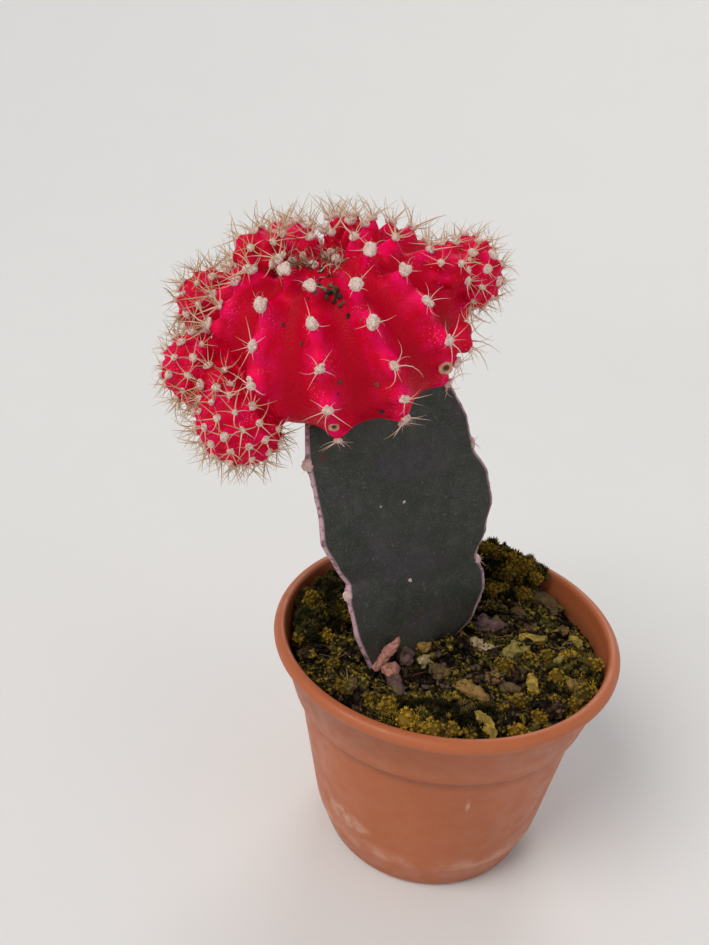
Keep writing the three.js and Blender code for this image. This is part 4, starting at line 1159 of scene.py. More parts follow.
def strewing_surface(margin):
    """The open top of the mix, with masks of where crumbs and moss may lie."""
    rings = mix_top_rings()[2:]
    points = rings.reshape(-1, 3)
    x, y = points[:, 0], points[:, 1]
    edge = fill_radius(SOIL_LEVEL) - margin
    clear_of_wall = 1 - smoothstep(np.hypot(x, y), edge - 0.4, edge)
    bare = clear_of_wall * (1 - 0.9 * cushion_cover(x, y)) * (1 - stem_cover(x, y, margin))
    spots = 0 * x
    for spot_x, spot_y, spread in MOSSY_SPOTS:
        spots = np.maximum(spots, bell(np.hypot(x - spot_x, y - spot_y), spread * 0.7))
    uneven = smoothstep(plane_noise(x / 2.1, y / 2.1, 77) + 0.5 * plane_noise(x, y, 78), -0.1, 0.6)
    mossy = spots * uneven * clear_of_wall * (1 - stem_cover(x, y, 0.3))
    faces = grid_quads(*rings.shape[:2])
    return make_piece("strewing_surface", points, faces, {"bare": bare, "mossy": mossy})


def mossy_copy(piece):
    """Copy of a strewn piece, mossy in places on what faces up."""
    copy = link(bpy.data.objects.new("mossy_copy", piece.data.copy()))
    x, y, _ = mesh_points(copy).T
    up = smoothstep(read_rows(copy.data.vertex_normals, "vector")[:, 2], 0.3, 0.7)
    store(copy.data, "mossy", up * smoothstep(plane_noise(x / 3.2, y / 3.2, 79), 0.1, 0.6))
    return copy


def stem_cover(x, y, margin):
    """1 where the stem comes out of the mix, at the height of the mix's surface."""
    outline = stem_outline(np.full(1, SOIL_LEVEL + 1), margin)[0, :, :2]
    inside = np.zeros(np.shape(x), dtype=bool)
    for (x1, y1), (x2, y2) in zip(outline, np.roll(outline, -1, axis=0)):
        at = (x2 - x1) * (y - y1) / (y2 - y1 + 1e-12) + x1
        inside = inside ^ (((y1 > y) != (y2 > y)) & (x < at))
    return inside.astype(float)


# Stem

stock_along = unit(STOCK_TOP - STOCK_BASE)
stock_across = unit(np.cross([0, 1, 0], stock_along))
stock_deep = np.cross(stock_along, stock_across)
head_up = unit(HEAD_LEAN)
head_across = unit(np.cross([0, 1, 0], head_up))


def wing_ways(degrees):
    """Directions out from the stem's axis at an angle, and aside from that."""
    angle = math.radians(degrees)
    outward = math.cos(angle) * stock_across + math.sin(angle) * stock_deep
    return outward, -math.sin(angle) * stock_across + math.cos(angle) * stock_deep


def stem_place(z, degrees, out, aside):
    """Point at a height of the stem, out from its axis and aside from that direction."""
    outward, sideways = wing_ways(degrees)
    centre = STOCK_BASE + stock_along * ((z - STOCK_BASE[2]) / stock_along[2])[:, None]
    return centre + outward * np.asarray(out)[:, None] + sideways * aside


def stem_column(z, wing, part, on_tip, margin):
    """One line of points up the stem, on a wing's edge or on the flank after it."""
    half = WING_EDGE_HALF * EDGE_THINNING + margin
    following = (wing + 1) % len(WING_ANGLES)
    reach = read_curve(WING_REACH[wing], z) + margin
    leave = stem_place(z, WING_ANGLES[wing], reach - 0.7 * half, half)
    if on_tip:
        arrive = stem_place(z, WING_ANGLES[wing], reach - 0.7 * half, -half)
        tip = stem_place(z, WING_ANGLES[wing], reach, 0)
        return bezier(arrive, 2 * tip - 0.5 * (arrive + leave), leave, part)
    next_reach = read_curve(WING_REACH[following], z) + margin
    arrive = stem_place(z, WING_ANGLES[following], next_reach - 0.7 * half, -half)
    middle = stem_place(z, WING_ANGLES[wing] + 60, read_curve(FACE_REACH, z) + margin, 0)
    return bezier(leave, 2 * middle - 0.5 * leave - 0.5 * arrive, arrive, part)


def stem_columns():
    for wing in range(len(WING_ANGLES)):
        for steps, on_tip in ((TIP_STEPS, True), (FLANK_STEPS, False)):
            for step in range(steps):
                yield wing, step / steps, on_tip


def stem_outline(z, margin):
    return np.stack([stem_column(z, *column, margin) for column in stem_columns()], axis=1)


def graft_height(column, margin):
    """Height of the axis at which a line up the stem meets the graft's plane."""
    seat = HEAD_CENTRE - head_up * (GRAFT_DEPTH - margin)
    climb = (stock_along @ head_up) / stock_along[2]
    z = np.full(1, 90.0)
    for _ in range(8):
        z = z - (stem_column(z, *column, margin)[0] - seat) @ head_up / climb
    return z[0]


def stem_rings(rows, margin):
    lines = []
    for column in stem_columns():
        heights = np.linspace(STOCK_FOOT_Z - margin, graft_height(column, margin), rows)
        lines.append(stem_column(heights, *column, margin))
    return np.stack(lines, axis=1)


def stem_mesh(rings):
    return skin_mesh(rings, rings[0].mean(axis=0) - stock_along * 1.0, rings[-1].mean(axis=0))


def stem_pocket():
    """The stem's own body, swollen by its gap, to cut its seats with."""
    return make_piece("stem_pocket", *stem_mesh(stem_rings(24, STOCK_GAP)))


def wing_edge(wing, z):
    z = np.atleast_1d(np.asarray(z, dtype=float))
    return stem_place(z, WING_ANGLES[wing], read_curve(WING_REACH[wing], z), 0)


def stem_areoles():
    """Felt spots on the wings' edges: place and facing."""
    for wing, heights in enumerate(STOCK_AREOLES):
        for z in heights:
            yield wing_edge(wing, z)[0], wing_ways(WING_ANGLES[wing])[0]


def make_stem():
    rings = stem_rings(STOCK_ROWS, 0.0)
    edge_distance = np.full(rings.shape[:2], 99.0)
    for wing in range(len(WING_ANGLES)):
        line = wing_edge(wing, np.linspace(STOCK_FOOT_Z, 97, 400))
        for row, ring in enumerate(rings):
            gaps = np.linalg.norm(ring[:, None] - line[None], axis=-1).min(axis=1)
            edge_distance[row] = np.minimum(edge_distance[row], gaps)
    edge = 1 - smoothstep(edge_distance, 0.25, 0.55)
    rise = 0.13 * edge * (1 + 0.7 * space_noise(rings, 1.6, 31)) + 0.07 * edge * space_noise(rings, 0.6, 32)
    rise += (1 - edge) * (0.3 * space_noise(rings, 9, 33) + 0.1 * space_noise(rings, 3, 34))
    rise -= 0.1 * bell(edge_distance - 1.15, 0.3)
    for place, _ in stem_areoles():
        rise += 0.55 * bell(np.linalg.norm(rings - place, axis=-1), 0.8)
    rise *= smoothstep(rings[..., 2], STOCK_FOOT_Z, STOCK_FOOT_Z + 4)
    points, faces = stem_mesh(swollen(rings, rise))
    stem = make_piece("stem", points, faces, {"edge": np.append(edge.ravel(), [0, 0])})
    grazed = np.zeros(len(points))
    skin = [surface_of(stem)]
    for x, y, width, height in STEM_GRAZES:
        away = np.linalg.norm((points - seen_on(skin, x, y)[0]) / [width, width, height], axis=-1)
        grazed = np.maximum(grazed, 1 - smoothstep(away, 0.6, 1.3))
    store(stem.data, "graze", grazed)
    return dress(stem, stem_skin())


# Head and offsets

class Globe:
    """A flattened globe to grow things on: centre, own up and across, radius and half height."""

    def __init__(self, centre, up, across, radius, half_height):
        self.centre = centre
        self.up = up
        self.across = across
        self.deep = np.cross(up, across)
        self.radius = radius
        self.half_height = half_height

    def spot(self, azimuth, latitude, rise):
        """Points and outward directions at angles in degrees, raised above the globe."""
        turn = np.radians(azimuth)[..., None]
        climb = np.radians(latitude)[..., None]
        flat = np.cos(climb) * (np.cos(turn) * self.across + np.sin(turn) * self.deep)
        high = np.sin(climb) * self.up
        outward = unit(flat / self.radius + high / self.half_height)
        raised = outward * np.asarray(rise, dtype=float)[..., None]
        return self.centre + flat * self.radius + high * self.half_height + raised, outward

    def grown_spot(self, azimuth, latitude):
        """Points and outward directions on the globe's own skin."""
        return self.spot(azimuth, latitude, self.rise(azimuth, latitude))

    def angles(self, points):
        """Azimuth and latitude in degrees of points near the globe."""
        away = points - self.centre
        x = away @ self.across / self.radius
        y = away @ self.deep / self.radius
        z = away @ self.up / self.half_height
        return np.degrees(np.arctan2(y, x)), np.degrees(np.arctan2(z, np.hypot(x, y)))

    def depth(self, points):
        """Distance from the centre, where 1 is the globe's own surface."""
        away = points - self.centre
        flat = np.hypot(away @ self.across, away @ self.deep) / self.radius
        return np.hypot(flat, away @ self.up / self.half_height)

    def skin(self, columns, rows):
        """Closed skin: its points and faces."""
        azimuths = 360 * np.arange(columns) / columns
        azimuth, latitude = np.meshgrid(azimuths, 180 * np.arange(1, rows) / rows - 90)
        rings, _ = self.grown_spot(azimuth, latitude)
        bottom, top = (self.grown_spot(np.zeros(1), np.full(1, pole))[0][0] for pole in (-90.0, 90.0))
        return skin_mesh(swollen(rings, 0.16 * space_noise(rings, 3.2, 61)), bottom, top)


def rib_place(azimuth, latitude):
    """For each direction: how near a crest it is, from 0 to 1, and the nearest rib."""
    ahead = behind = best = np.full(np.shape(azimuth), 360.0)
    nearest = np.zeros(np.shape(azimuth), dtype=int)
    for rib, areoles in enumerate(HEAD_RIBS):
        azimuths, latitudes = zip(*areoles[::-1])
        gap = (np.interp(latitude, latitudes, azimuths) - azimuth) % 360
        ahead = np.minimum(ahead, gap)
        behind = np.minimum(behind, 360 - gap)
        distance = np.minimum(gap, 360 - gap)
        nearest = np.where(distance < best, rib, nearest)
        best = np.minimum(best, distance)
    off_crest = best / np.maximum(ahead + behind, 1e-6)
    return (0.5 + 0.5 * np.cos(2 * np.pi * off_crest)) ** 1.25, nearest


class Head(Globe):
    """The ribbed head, with a tubercle under each areole."""

    def __init__(self):
        super().__init__(HEAD_CENTRE, head_up, head_across, HEAD_RADIUS, HEAD_HALF_HEIGHT)

    def rise(self, azimuth, latitude):
        crest, nearest = rib_place(azimuth, latitude)
        fade = np.maximum(np.cos(np.radians(latitude)), 0) ** 0.5
        under = smoothstep(-np.radians(latitude), -0.1, 0.5)
        behind = bell(azimuth - REAR_AZIMUTH, 45)
        depth = RIB_DEPTH * (1 + (UNDERSIDE_DEPTH - 1) * under) + REAR_FURROW * behind
        rise = -CREST_SINK - depth * (1 - crest) * fade
        crown = smoothstep(latitude, 38, 68)
        notch = 0
        for rib, areoles in enumerate(HEAD_RIBS):
            for _, at in areoles:
                swell = np.exp(-((latitude - at) / (TUBERCLE_SPAN - 3.2 * crown)) ** 2)
                notch = np.maximum(notch, np.where(nearest == rib, swell, 0))
        rise = rise + crest ** 2.2 * notch * TUBERCLE_RISE * (1 + CROWN_SWELL * crown)
        rise = rise - crown * CROWN_NOTCH * crest * (1 - notch)
        apex = np.maximum(0, (latitude - 72) / 18)
        rear = bell(azimuth - REAR_AZIMUTH, 38) * smoothstep(latitude, 25, 50)
        return rise - APEX_SINK * apex * apex - REAR_SINK * rear


class Offset(Globe):
    """A small round offset, all over close tubercles on a spiral."""

    def __init__(self, head, azimuth, latitude, radius, stand):
        place, outward = head.spot(azimuth, latitude, stand)
        across = np.cross([0, 1, 0], outward)
        if across @ across < 0.05:
            across = np.cross(head_across, outward)
        super().__init__(place, outward, unit(across), radius, radius * 0.92)
        tip_share = 1 - math.sin(math.radians(LOWEST_TUBERCLE))
        count = int(2 * math.pi * radius ** 2 * tip_share / (0.87 * TUBERCLE_SPACING ** 2))
        steps = np.arange(count)
        climb = np.degrees(np.arcsin(1 - (steps + 0.5) / count * tip_share))
        self.tubercles = list(zip(steps * GOLDEN_ANGLE % 360, climb))

    def bumps(self, azimuth, latitude):
        """1 on each tubercle, falling to 0 in the furrows."""
        bumps = np.zeros(np.shape(azimuth))
        here, _ = self.spot(azimuth, latitude, 0)
        for tubercle in self.tubercles:
            distance = np.linalg.norm(here - self.spot(*tubercle, 0)[0], axis=-1)
            bumps = np.maximum(bumps, np.exp(-(distance / (0.46 * TUBERCLE_SPACING)) ** 2))
        return bumps

    def rise(self, azimuth, latitude):
        return self.radius * -0.1 + TUBERCLE_HEIGHT * self.bumps(azimuth, latitude)


def make_flesh(head, offsets):
    """One body of head and offsets, remeshed together so that their creases are soft."""
    shells = [head.skin(HEAD_COLUMNS, HEAD_ROWS)]
    shells += [globe.skin(OFFSET_COLUMNS, OFFSET_ROWS) for globe in offsets]
    points = np.zeros((0, 3))
    faces = []
    for shell_points, shell_faces in shells:
        faces += [tuple(index + len(points) for index in face) for face in shell_faces]
        points = np.vstack([points, shell_points])
    flesh = make_piece("flesh", points, faces)
    add_modifier(flesh, "REMESH", mode="VOXEL", voxel_size=FLESH_VOXEL * MM)
    add_modifier(flesh, "SMOOTH", factor=0.5, iterations=4)
    carve(apply_modifiers(flesh), stem_pocket())
    flesh.data.shade_smooth()
    places = mesh_points(flesh)
    azimuth, latitude = head.angles(places)
    nearness = np.clip(head.rise(azimuth, latitude) + CREST_SINK, 0, 1)
    crest = 0.55 * rib_place(azimuth, latitude)[0] + 0.45 * nearness
    for globe in offsets:
        on_offset = 1 - smoothstep(globe.depth(places), 1.02, 1.12)
        crest = crest * (1 - on_offset) + (0.25 + 0.6 * globe.bumps(*globe.angles(places))) * on_offset
    store(flesh.data, "crest", crest)
    return dress(flesh, red_flesh())


# Areoles: wool pads and spines

class Points:
    """Loose points that carry a facing and other values, for things to be grown on."""

    def __init__(self):
        self.places = []
        self.values = {}

    def add(self, place, **values):
        self.places.append(place)
        for key, value in values.items():
            self.values.setdefault(key, []).append(value)

    def grow(self, name, tree, material, seed, **values):
        attributes = {key: np.array(column) for key, column in self.values.items()}
        base = make_piece(name, np.array(self.places), [], attributes)
        return grow(name, base, tree, material, seed, **values)


def side_axes(outward):
    side = np.cross(outward, [0, 0, 1])
    if side @ side < 0.01:
        side = head_across
    side = unit(side)
    return side, np.cross(outward, side)


def way_round(outward, angle):
    """Direction across an outward one, at an angle round it."""
    side, other = side_axes(outward)
    return math.cos(angle) * side + math.sin(angle) * other


def star(points, random, place, outward, count, length, lean, footing, blush=0.0):
    """Spines spread like a star round an areole."""
    start = random.uniform(0, 2 * math.pi)
    for spine in range(count):
        way = way_round(outward, start + 2 * math.pi * (spine + random.uniform(-0.28, 0.28)) / count)
        spread = math.radians(lean + random.uniform(-14, 14))
        facing = unit(math.cos(spread) * outward + math.sin(spread) * way)
        root = place + way * footing
        reach = within_box(root, facing, length * random.uniform(0.65, 1.2))
        points.add(root, facing=facing, length=reach * MM, blush=blush)


def within_box(root, facing, length):
    """A spine's length, shortened where it would leave the solids' own box."""
    low, high = (np.array(corner) / MM for corner in cad_box)
    room = np.where(facing > 0, high - BOX_MARGIN - root, root - low - BOX_MARGIN)
    return max(0.5, min(length, float(np.min(room / np.maximum(np.abs(facing), 1e-3)))))


def under_offset(place, offsets, reach=1.06):
    return any(globe.depth(place) < reach for globe in offsets)


def dress_head(head, offsets, random):
    """Points for the pads, hairs and spines of the head."""
    pads, hairs, spines = Points(), Points(), Points()
    for rib, areoles in enumerate(HEAD_RIBS):
        for azimuth, latitude in areoles:
            place, outward = head.grown_spot(azimuth, latitude)
            if under_offset(place, offsets):
                continue
            in_front = rib in FRONT_RIBS
            upper_front = in_front and 38 < latitude < 75
            size = random.uniform(0.78, 1.0) if upper_front else random.uniform(0.6, 0.8)
            if latitude < 0:
                size *= 0.85
            side, other = side_axes(outward)
            for part, climb in ((1.0, 0.0), (0.62, -0.75), (0.7, 0.15)):
                away = random.uniform(-0.4, 0.4, 2) * size * (part < 1)
                lump = place + outward * 0.1 + side * away[0] + other * (away[1] + climb * size)
                pads.add(lump, facing=outward, size=size * part * MM)
            for _ in range(PAD_HAIRS):
                way = way_round(outward, random.uniform(0, 2 * math.pi))
                lean = random.uniform(0.2, 1.3)
                facing = unit(outward * math.cos(lean) + way * math.sin(lean))
                root = place + outward * 0.25 + way * size * 0.75 * math.sin(lean)
                hairs.add(root, facing=facing, length=random.uniform(0.5, 1.3) * size * MM)
            if upper_front:
                fewest, most, length, lean, footing, blush = 2, 5, 2.7, 66, 0.5, 0.5
            elif in_front and latitude < 38:
                fewest, most, length, lean, footing, blush = 5, 8, 3.3, 68, 0.35, 0.7
            else:
                fewest, most, lean, footing, blush = 6, 10, 46, 0.4, 0.15
                length = 4.0 if latitude > 40 else 4.8
            count = int(random.integers(fewest, most))
            star(spines, random, place + outward * 0.3, outward, count, length, lean, size * footing, blush)
    return pads, hairs, spines


def dress_offsets(head, offsets, random):
    """Points for the pads and spines of the offsets."""
    pads, spines = Points(), Points()
    for globe in offsets:
        others = [other for other in offsets if other is not globe]
        at_left = globe.centre[0] < HEAD_CENTRE[0] - 10
        for tubercle in globe.tubercles:
            place, outward = globe.grown_spot(*tubercle)
            if head.depth(place) < 1.0 or under_offset(place, others, 1.02):
                continue
            size = random.uniform(0.42, 0.7)
            pads.add(place + outward * 0.02, facing=outward, size=size * MM)
            lump = place + way_round(outward, random.uniform(0, 2 * math.pi)) * size * 0.5
            pads.add(lump, facing=outward, size=size * 0.7 * MM)
            blush = float(np.clip(random.uniform(-0.3, 0.5 - 0.3 * at_left), 0, 1))
            star(spines, random, place + outward * 0.1, outward, int(random.integers(5, 8)),
                 3.5 if at_left else 2.8, 48, 0.2, blush)
    return pads, spines


def make_scar(number, flesh, scar, material):
    """Corky ring where an offset was taken off: a low collar round a dark dish."""
    x, y, size = scar
    place, outward = seen_on(flesh, x, y)
    outward = unit(outward - SCAR_TURN * np.array(photo_ray(x, y)[1]))
    side, other = side_axes(outward)
    profile = [(1.35, -0.7), (1.5, 0.1), (1.38, 0.5), (1.1, 0.72), (0.82, 0.6), (0.6, 0.25), (0.3, 0.1)]
    rings = lathe_rings(softened(profile, 0.3, 3), 40)
    swirl = space_noise(rings + 40, 0.5, 71) * 0.12 + space_noise(rings, 1.4, 72) * 0.15
    rings = swollen(rings, swirl)
    pit = 1 - smoothstep(np.hypot(rings[..., 0], rings[..., 1]), 0.45, 0.85)
    pit = pit * (rings[..., 2] > -0.2)
    local, faces = skin_mesh(rings, [0, 0, -0.7], [0, 0, 0.08])
    if np.dot(np.cross(side, other), outward) < 0:
        side, other = other, side
    points = place + local * size @ np.array([side, other, outward])
    values = {"pit": np.append(pit.ravel(), [0, 1])}
    return dress(make_piece(f"ring_scar_{number}", points, faces, values), material)


# What lies on the mix and on the head

def crown_fibres(flesh, material):
    """Dried threads caught among the crown's tubercles."""
    random = np.random.default_rng(12)
    threads = Points()
    right, up, back = np.array(camera_matrix().to_3x3()).T
    for x, y, spread, count, lie in CROWN_THREADS:
        for _ in range(count):
            place, outward = seen_on(flesh, x + random.normal(0, spread), y + random.normal(0, 0.45 * spread))
            angle = math.radians(lie + random.normal(0, 32))
            facing = math.cos(angle) * right + math.sin(angle) * up + back * random.uniform(-0.3, 0.6)
            facing = unit(facing - min(0, facing @ outward) * outward)
            root = place + outward * random.uniform(0.1, 0.9) - facing * 0.8
            length = within_box(root, facing, random.uniform(1.4, 3.4))
            threads.add(root, facing=facing, length=length * MM,
                        tint=(DRIED, UMBER, WOOD, CREAM, DRIED)[int(random.integers(0, 5))])
    return threads.grow("crown_threads", SPINES, material, 13, Thickness=0.038, Bend=0.8, Sides=4)


def head_crumbs(flesh, material):
    """Crumbs of the mix that have fallen on the head, and a dry yellow bud at the crown."""
    crumbs = Points()
    for number, (x, y, size) in enumerate(FALLEN_CRUMBS):
        place, outward = seen_on(flesh, x, y)
        tint = OLIVE if number == len(FALLEN_CRUMBS) - 1 else (SOOT, UMBER, WOOD, SOOT, UMBER)[number % 5]
        crumbs.add(place + outward * size * 0.35, facing=outward, size=size * MM, tint=tint)
    return crumbs.grow("head_crumbs", WOOL, material, 14, Fineness=3, Flatness=0.75, Tuft_Size=0.0003,
                       Tuft_Height=0.0002, Lump_Size=0.0004, Lump_Height=0.0011)


def mix_bit(number, bit, surfaces, material):
    """One more bit of bark lying on the mix, where the photograph shows it."""
    x, y, length, turn, width, thick, arch, lift, tint = bit
    centre = seen_on(surfaces, x, y)[0] + [0, 0, thick * 0.2 + 0.7 * lift]
    return sliver(f"mix_bit_{number}", material, centre, turn, 5, length, width, thick, 59 + number, tint,
                  arch)


def stem_flap(stem, material):
    """Flap of pink cork that leans on the front of the stem's foot."""
    place, facing = seen_on([surface_of(stem)], *STEM_FLAP)
    return sliver("stem_flap", material, place + facing * 0.9, 10, -56, 7.0, 2.1, 1.3, 59, CORK, 0.04, 0.0)


def moss_knobs(surfaces, material):
    """Small round cushions of moss over the mix, each golden or green at its tips."""
    knobs = Points()
    for x, y, radius, gold in MOSS_KNOBS:
        place, _ = seen_on(surfaces, x, y)
        if place is not None:
            knobs.add(place + [0, 0, 0.35 * radius], facing=(0.0, 0.0, 1.0), size=radius * MM, gold=gold)
    base = knobs.grow("moss_knobs", WOOL, material, 17, Fineness=3, Flatness=0.75, Tuft_Size=0.0011,
                      Tuft_Height=0.00045)
    store(base.data, "mossy", np.ones(len(base.data.vertices)))
    return grow("moss_knobs", base, SHOOTS, material, 18, Spacing=0.00045, Density=4000000.0, Height=0.0006,
                Leaf_Width=0.2, Keep_Surface=True)


def mix_fibres(material):
    """Thin brown root and bark fibres over the mix."""
    random = np.random.default_rng(15)
    fibres = Points()
    for _ in range(FIBRE_DRAWS):
        radius = 25 * math.sqrt(random.uniform(0, 1))
        angle = random.uniform(0, 2 * math.pi)
        x, y = radius * math.cos(angle), radius * math.sin(angle)
        place = np.array([x, y, mix_height(x, y) + 0.5])
        turn = random.uniform(0, 2 * math.pi)
        facing = unit(np.array([math.cos(turn), math.sin(turn), random.uniform(-0.05, 0.25)]))
        end = place + facing * 4.5
        if math.hypot(end[0], end[1]) > 26 or stem_cover(x, y, 1.0):
            continue
        fibres.add(place, facing=facing, length=random.uniform(1.6, 4.5) * MM,
                   tint=(OCHRE, UMBER, RUST, CREAM)[int(random.integers(0, 4))])
    return fibres.grow("mix_fibres", SPINES, material, 16, Thickness=0.028, Bend=0.5, Sides=4)


def make_moss_base(cushion):
    """Lumpy cushion over the mix, kept inside the pot, and mossy on its upper side."""
    turn = full_turn(CUSHION_COLUMNS)
    x, y, seed = cushion["x"], cushion["y"], cushion["seed"]
    wobble = 1 + 0.16 * plane_noise(3 * np.cos(turn) + seed, 3 * np.sin(turn), seed)
    rings = []
    for part in [-0.25, *np.sin(np.linspace(0, 1.45, 14))]:
        level = math.sqrt(1 - max(part, 0) ** 2)
        along = cushion["reach"] * level * wobble * np.cos(turn)
        away = cushion["depth"] * level * wobble * np.sin(turn)
        lump = 1.0 * plane_noise(along / 2.1 + seed, away / 2.1, seed + 5) * (part > 0)
        lump = lump + 0.3 * plane_noise(along / 0.8, away / 0.8, seed + 6) * (part > 0)
        over_x, over_y = cushion_frame(cushion, along, away)
        z = cushion["top"] + MOSS_DOME * (part - 1) + lump
        rings.append(np.stack([x + over_x, y + over_y, z], axis=-1))
    rings = np.array(rings)
    rings[..., 2] = np.maximum(rings[..., 2], soil_height(rings[..., 0], rings[..., 1]) - 0.3)
    radius = np.hypot(rings[..., 0], rings[..., 1])
    over_lip = rings[..., 2] > POT_HEIGHT + 0.2
    in_pot = fill_radius(np.minimum(rings[..., 2], 41)) - 0.1
    limit = np.where(over_lip, POT_RIM_RADIUS - LIP_WIDTH / 2, in_pot)
    rings[..., :2] *= np.minimum(1, limit / radius)[..., None]
    points, faces = skin_mesh(rings, [x, y, soil_height(x, y) - 0.6], rings[-1].mean(axis=0))
    inside = np.where(radius > POT_RIM_RADIUS - 3.2, 0.35, 1.0)
    top_side = smoothstep(grid_normals(rings)[..., 2], -0.2, 0.3)
    mossy = np.append((top_side * inside).ravel(), [0, 1])
    return make_piece(cushion["name"] + "_base", points, faces, {"mossy": mossy, "tone": mossy * 0.3})


def sliver(name, material, centre, turn, tilt, length, width, thick, seed, tint, arch=0.0, mossiness=0.7):
    """Split bit of bark or wood: a fibrous, ragged-ended sliver, bent by arch."""
    random = np.random.default_rng(seed)
    part = np.linspace(-1, 1, BIT_ROWS)[:, None]
    round_turn = full_turn(BIT_COLUMNS)
    cosine, sine = np.cos(round_turn), np.sin(round_turn)
    square = 1 / np.maximum(np.abs(cosine) ** 3 + np.abs(sine) ** 3, 1e-6) ** (1 / 3)
    ragged = 0.05 * random.standard_normal(BIT_COLUMNS)
    ends = np.sqrt(np.maximum(1 - np.abs(part) ** 4, 0.02))
    rings = np.zeros((BIT_ROWS, BIT_COLUMNS, 3))
    rings[..., 0] = part * length / 2 * (1 + ragged * np.abs(part) ** 3)
    rings[..., 1] = cosine * square * ends * width / 2 * (1 - 0.2 * part)
    rings[..., 2] = sine * square * ends * thick / 2
    craggy = 1.9 if width > 0.45 * length else 1.0
    rings = swollen(rings, 0.20 * width * space_noise(rings * [0.35, 1, 1] + seed * 3.7, 0.5, seed))
    rings = swollen(rings, 0.16 * space_noise(rings + seed, 0.4, seed + 2))
    rings = swollen(rings, 0.11 * craggy * width * space_noise(rings + seed, 1.3, seed + 1))
    rings[..., 1] += arch * length * (1 - part ** 2)
    tip = np.array([length / 2, 0, 0]) * 0.98
    local, faces = skin_mesh(rings, -tip, tip)
    placed = Matrix.Rotation(math.radians(turn), 3, "Z") @ Matrix.Rotation(math.radians(tilt), 3, "Y")
    values = {"tint": np.tile(tint, (len(local), 1)), "mossiness": np.full(len(local), mossiness)}
    return dress(make_piece(name, local @ np.array(placed).T + centre, faces, values), material)


# Camera, light and floor

def photo_ray(x, y):
    """Origin and direction, in metres, of the camera's line through a pixel of the photograph."""
    matrix = camera_matrix()
    local = Vector(((x - PHOTO_WIDTH / 2) / FOCAL_PIXELS, (PHOTO_HEIGHT / 2 - y) / FOCAL_PIXELS, -1))
    return matrix.translation, (matrix.to_3x3() @ local).normalized()


def surface_of(piece):
    return BVHTree.FromObject(piece, bpy.context.evaluated_depsgraph_get())


def seen_on(surfaces, x, y):
    """Place in millimetres and facing where a pixel of the photograph first sees one of some surfaces."""
    hits = [surface.ray_cast(*photo_ray(x, y)) for surface in surfaces]
    hits = [hit for hit in hits if hit[0] is not None]
    if not hits:
        return None, None
    place, facing, _, _ = min(hits, key=lambda hit: hit[3])
    return np.array(place) / MM, np.array(facing)


def camera_matrix():
    down = math.radians(CAMERA_DOWN)
    roll = math.radians(CAMERA_ROLL)
    back = Vector((0, -math.cos(down), math.sin(down)))
    level = Vector((1, 0, 0))
    upright = Vector((0, math.sin(down), math.cos(down)))
    right = level * math.cos(roll) + upright * math.sin(roll)
    up = upright * math.cos(roll) - level * math.sin(roll)
    matrix = Matrix((right, up, back)).transposed().to_4x4()
    matrix.translation = Vector(CAMERA_PLACE * MM)
    return matrix


def add_camera():
    lens = bpy.data.cameras.new("camera")
    lens.sensor_width = SENSOR_WIDTH
    lens.lens = FOCAL_PIXELS / PHOTO_HEIGHT * SENSOR_WIDTH
    lens.clip_start = 0.005
    camera = link(bpy.data.objects.new("camera", lens))
    camera.matrix_world = camera_matrix()
    bpy.context.scene.camera = camera


def add_sun(name, lies, energy, softness, colour):
    """Broad sun that shines from where a point lies; softness is its width in degrees."""
    data = bpy.data.lights.new(name, "SUN")
    data.energy = energy
    data.angle = math.radians(softness)
    data.color = colour
    light = link(bpy.data.objects.new(name, data))
    light.rotation_euler = (-Vector(lies)).to_track_quat("-Z", "Y").to_euler()


def add_studio():
    world = bpy.data.worlds.new("studio")
    world.use_nodes = True
    background = world.node_tree.nodes["Background"].inputs
    background["Color"].default_value = SKY_COLOUR
    background["Strength"].default_value = SKY_STRENGTH
    bpy.context.scene.world = world
    bpy.context.scene.view_settings.view_transform = "Standard"
    for sun in SUNS:
        add_sun(*sun)


def make_floor():
    """Pale floor that rises far away on every side, so that no view shows its end."""
    reach = np.linspace(FLOOR_REACH, 0.02, FLOOR_ROWS)
    climb = FLOOR_RISE * smoothstep(reach, FLOOR_FLAT, FLOOR_REACH)
    rings = lathe_rings(zip(reach / MM, climb / MM), FLOOR_COLUMNS)
    points, faces = skin_mesh(rings, [0, 0, 0], [0, 0, 0])
    outer_cap = FLOOR_ROWS * FLOOR_COLUMNS
    floor = make_piece("floor", points, [face for face in faces if outer_cap not in face])
    dress(floor, floor_paint())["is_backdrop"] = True


# Putting it together

add_camera()
add_studio()
make_floor()
declare(make_pot(), "pot_plastic", "pot")

head = Head()
offsets = [Offset(head, **offset) for offset in OFFSETS]
stem = make_stem()
flesh = make_flesh(head, offsets)

peat = peat_mix()
moss = moss_green()
bark = bark_wood()
felt = wool_felt()
horn = spine_horn()
cork = scar_cork()
mix = make_mix(stem_pocket(), peat)

SPINES = spine_tree()
WOOL = wool_tree()
CRUMBS = crumb_tree()
SHOOTS = moss_tree()

